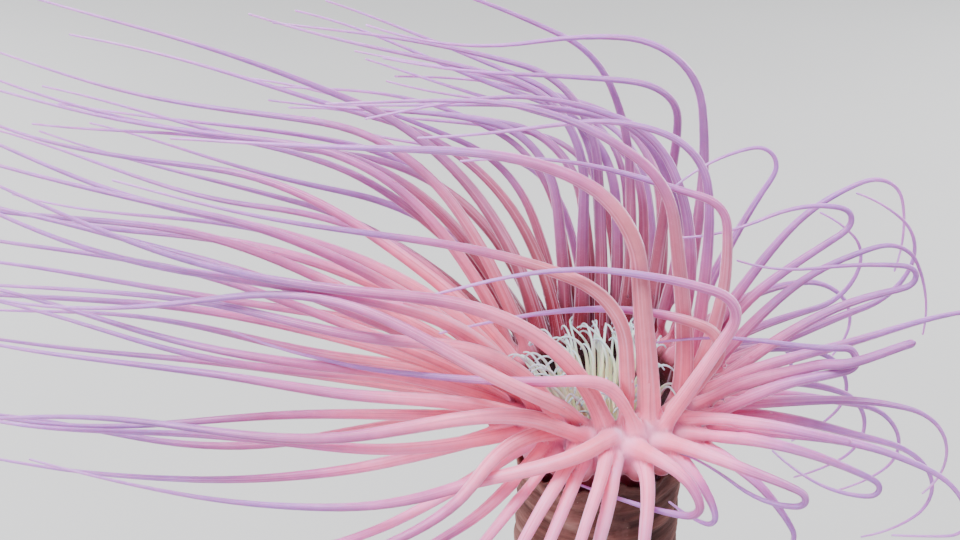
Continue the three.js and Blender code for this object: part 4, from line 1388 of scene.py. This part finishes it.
TENTACLE_SIDES = 10
LABIAL_SIDES = 7
skin = Mesh()
loops = add_roots(skin, marginals)
for number, one in enumerate(marginals):
    if number in loops:
        ring = add_tube(skin, one, TENTACLE_SIDES, EDGE_MM, True)
        weld(skin, one, loops[number], ring, TENTACLE_SIDES)
    else:
        add_tube(skin, one, TENTACLE_SIDES, CUT_MM - 0.7, False)
for one in labials:
    add_tube(skin, one, LABIAL_SIDES, 0, False)
add_column(skin)
flesh = skin.build("anemone_skin")
paint_flesh(flesh)
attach(flesh, "root")
hidden = [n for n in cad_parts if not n.startswith(("stand_", "tube_"))]
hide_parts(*hidden)

parchment = tube_piece()
paint_parchment(parchment)
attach(parchment, "root")
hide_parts("tube_foot", "tube_middle", "tube_mouth")

stand = stand_piece()
paint_stand(stand)
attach(stand, "root")
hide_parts("stand_base")


# ---- floor, light and camera, in metres ----
def floor_piece():
    mesh = bpy.data.meshes.new("floor")
    reach = 6.0
    corners = [(-reach, -reach, 0), (reach, -reach, 0), (reach, reach, 0), (-reach, reach, 0)]
    mesh.from_pydata(corners, [], [(0, 1, 2, 3)])
    piece = add_object("floor", mesh)
    paint = Paint("floor_pale")
    tone = paint.noise(paint.place(), 3.0, Detail=3.0)
    colour = paint.stops(tone, (0.3, rgb(178, 178, 179)), (0.7, rgb(184, 184, 185)))
    paint.put_on(piece, {"Base Color": colour, "Roughness": 0.8})


floor_piece()
crown = Vector((-0.03, 0, 0.18))
for name, at, size, energy in (
    ("key", (-0.15, -0.2, 0.9), 0.35, 12.0),
    ("fill", (-0.5, -0.9, 0.45), 0.8, 6.0),
    ("rim_left", (-0.65, 0.6, 0.4), 0.35, 8.0),
    ("rim_right", (0.6, 0.6, 0.4), 0.35, 8.0),
):
    lamp = bpy.data.lights.new(name, "AREA")
    lamp.shape = "DISK"
    lamp.size = size
    lamp.energy = energy
    holder = add_object(name, lamp)
    holder.location = at
    holder.rotation_euler = (crown - Vector(at)).to_track_quat("-Z", "Y").to_euler()
sky = bpy.data.lights.new("ceiling", "SUN")
sky.energy = 1.7
sky.angle = math.radians(100)
add_object("ceiling", sky)
world = bpy.data.worlds.new("studio")
world.use_nodes = True
backdrop = world.node_tree.nodes["Background"]
backdrop.inputs["Color"].default_value = (0.9, 0.92, 0.95, 1)
backdrop.inputs["Strength"].default_value = 0.44
bpy.context.scene.world = world

LOOK_DOWN = math.radians(28)
FOCAL_MM = 60.0
FAR_M = 0.3333
AIM_LEFT_M = 0.0253
AIM_UP_M = 0.0246
camera = bpy.data.cameras.new("view")
camera.lens = FOCAL_MM
camera.sensor_width = 36.0
camera.clip_start = 0.01
eye = add_object("view", camera)
down, up = math.sin(LOOK_DOWN), math.cos(LOOK_DOWN)
aim = Vector((-AIM_LEFT_M, AIM_UP_M * down, RIM_Z * MM + AIM_UP_M * up))
eye.location = aim + FAR_M * Vector((0, -up, down))
eye.rotation_euler = (math.radians(90) - LOOK_DOWN, 0, 0)
bpy.context.scene.camera = eye
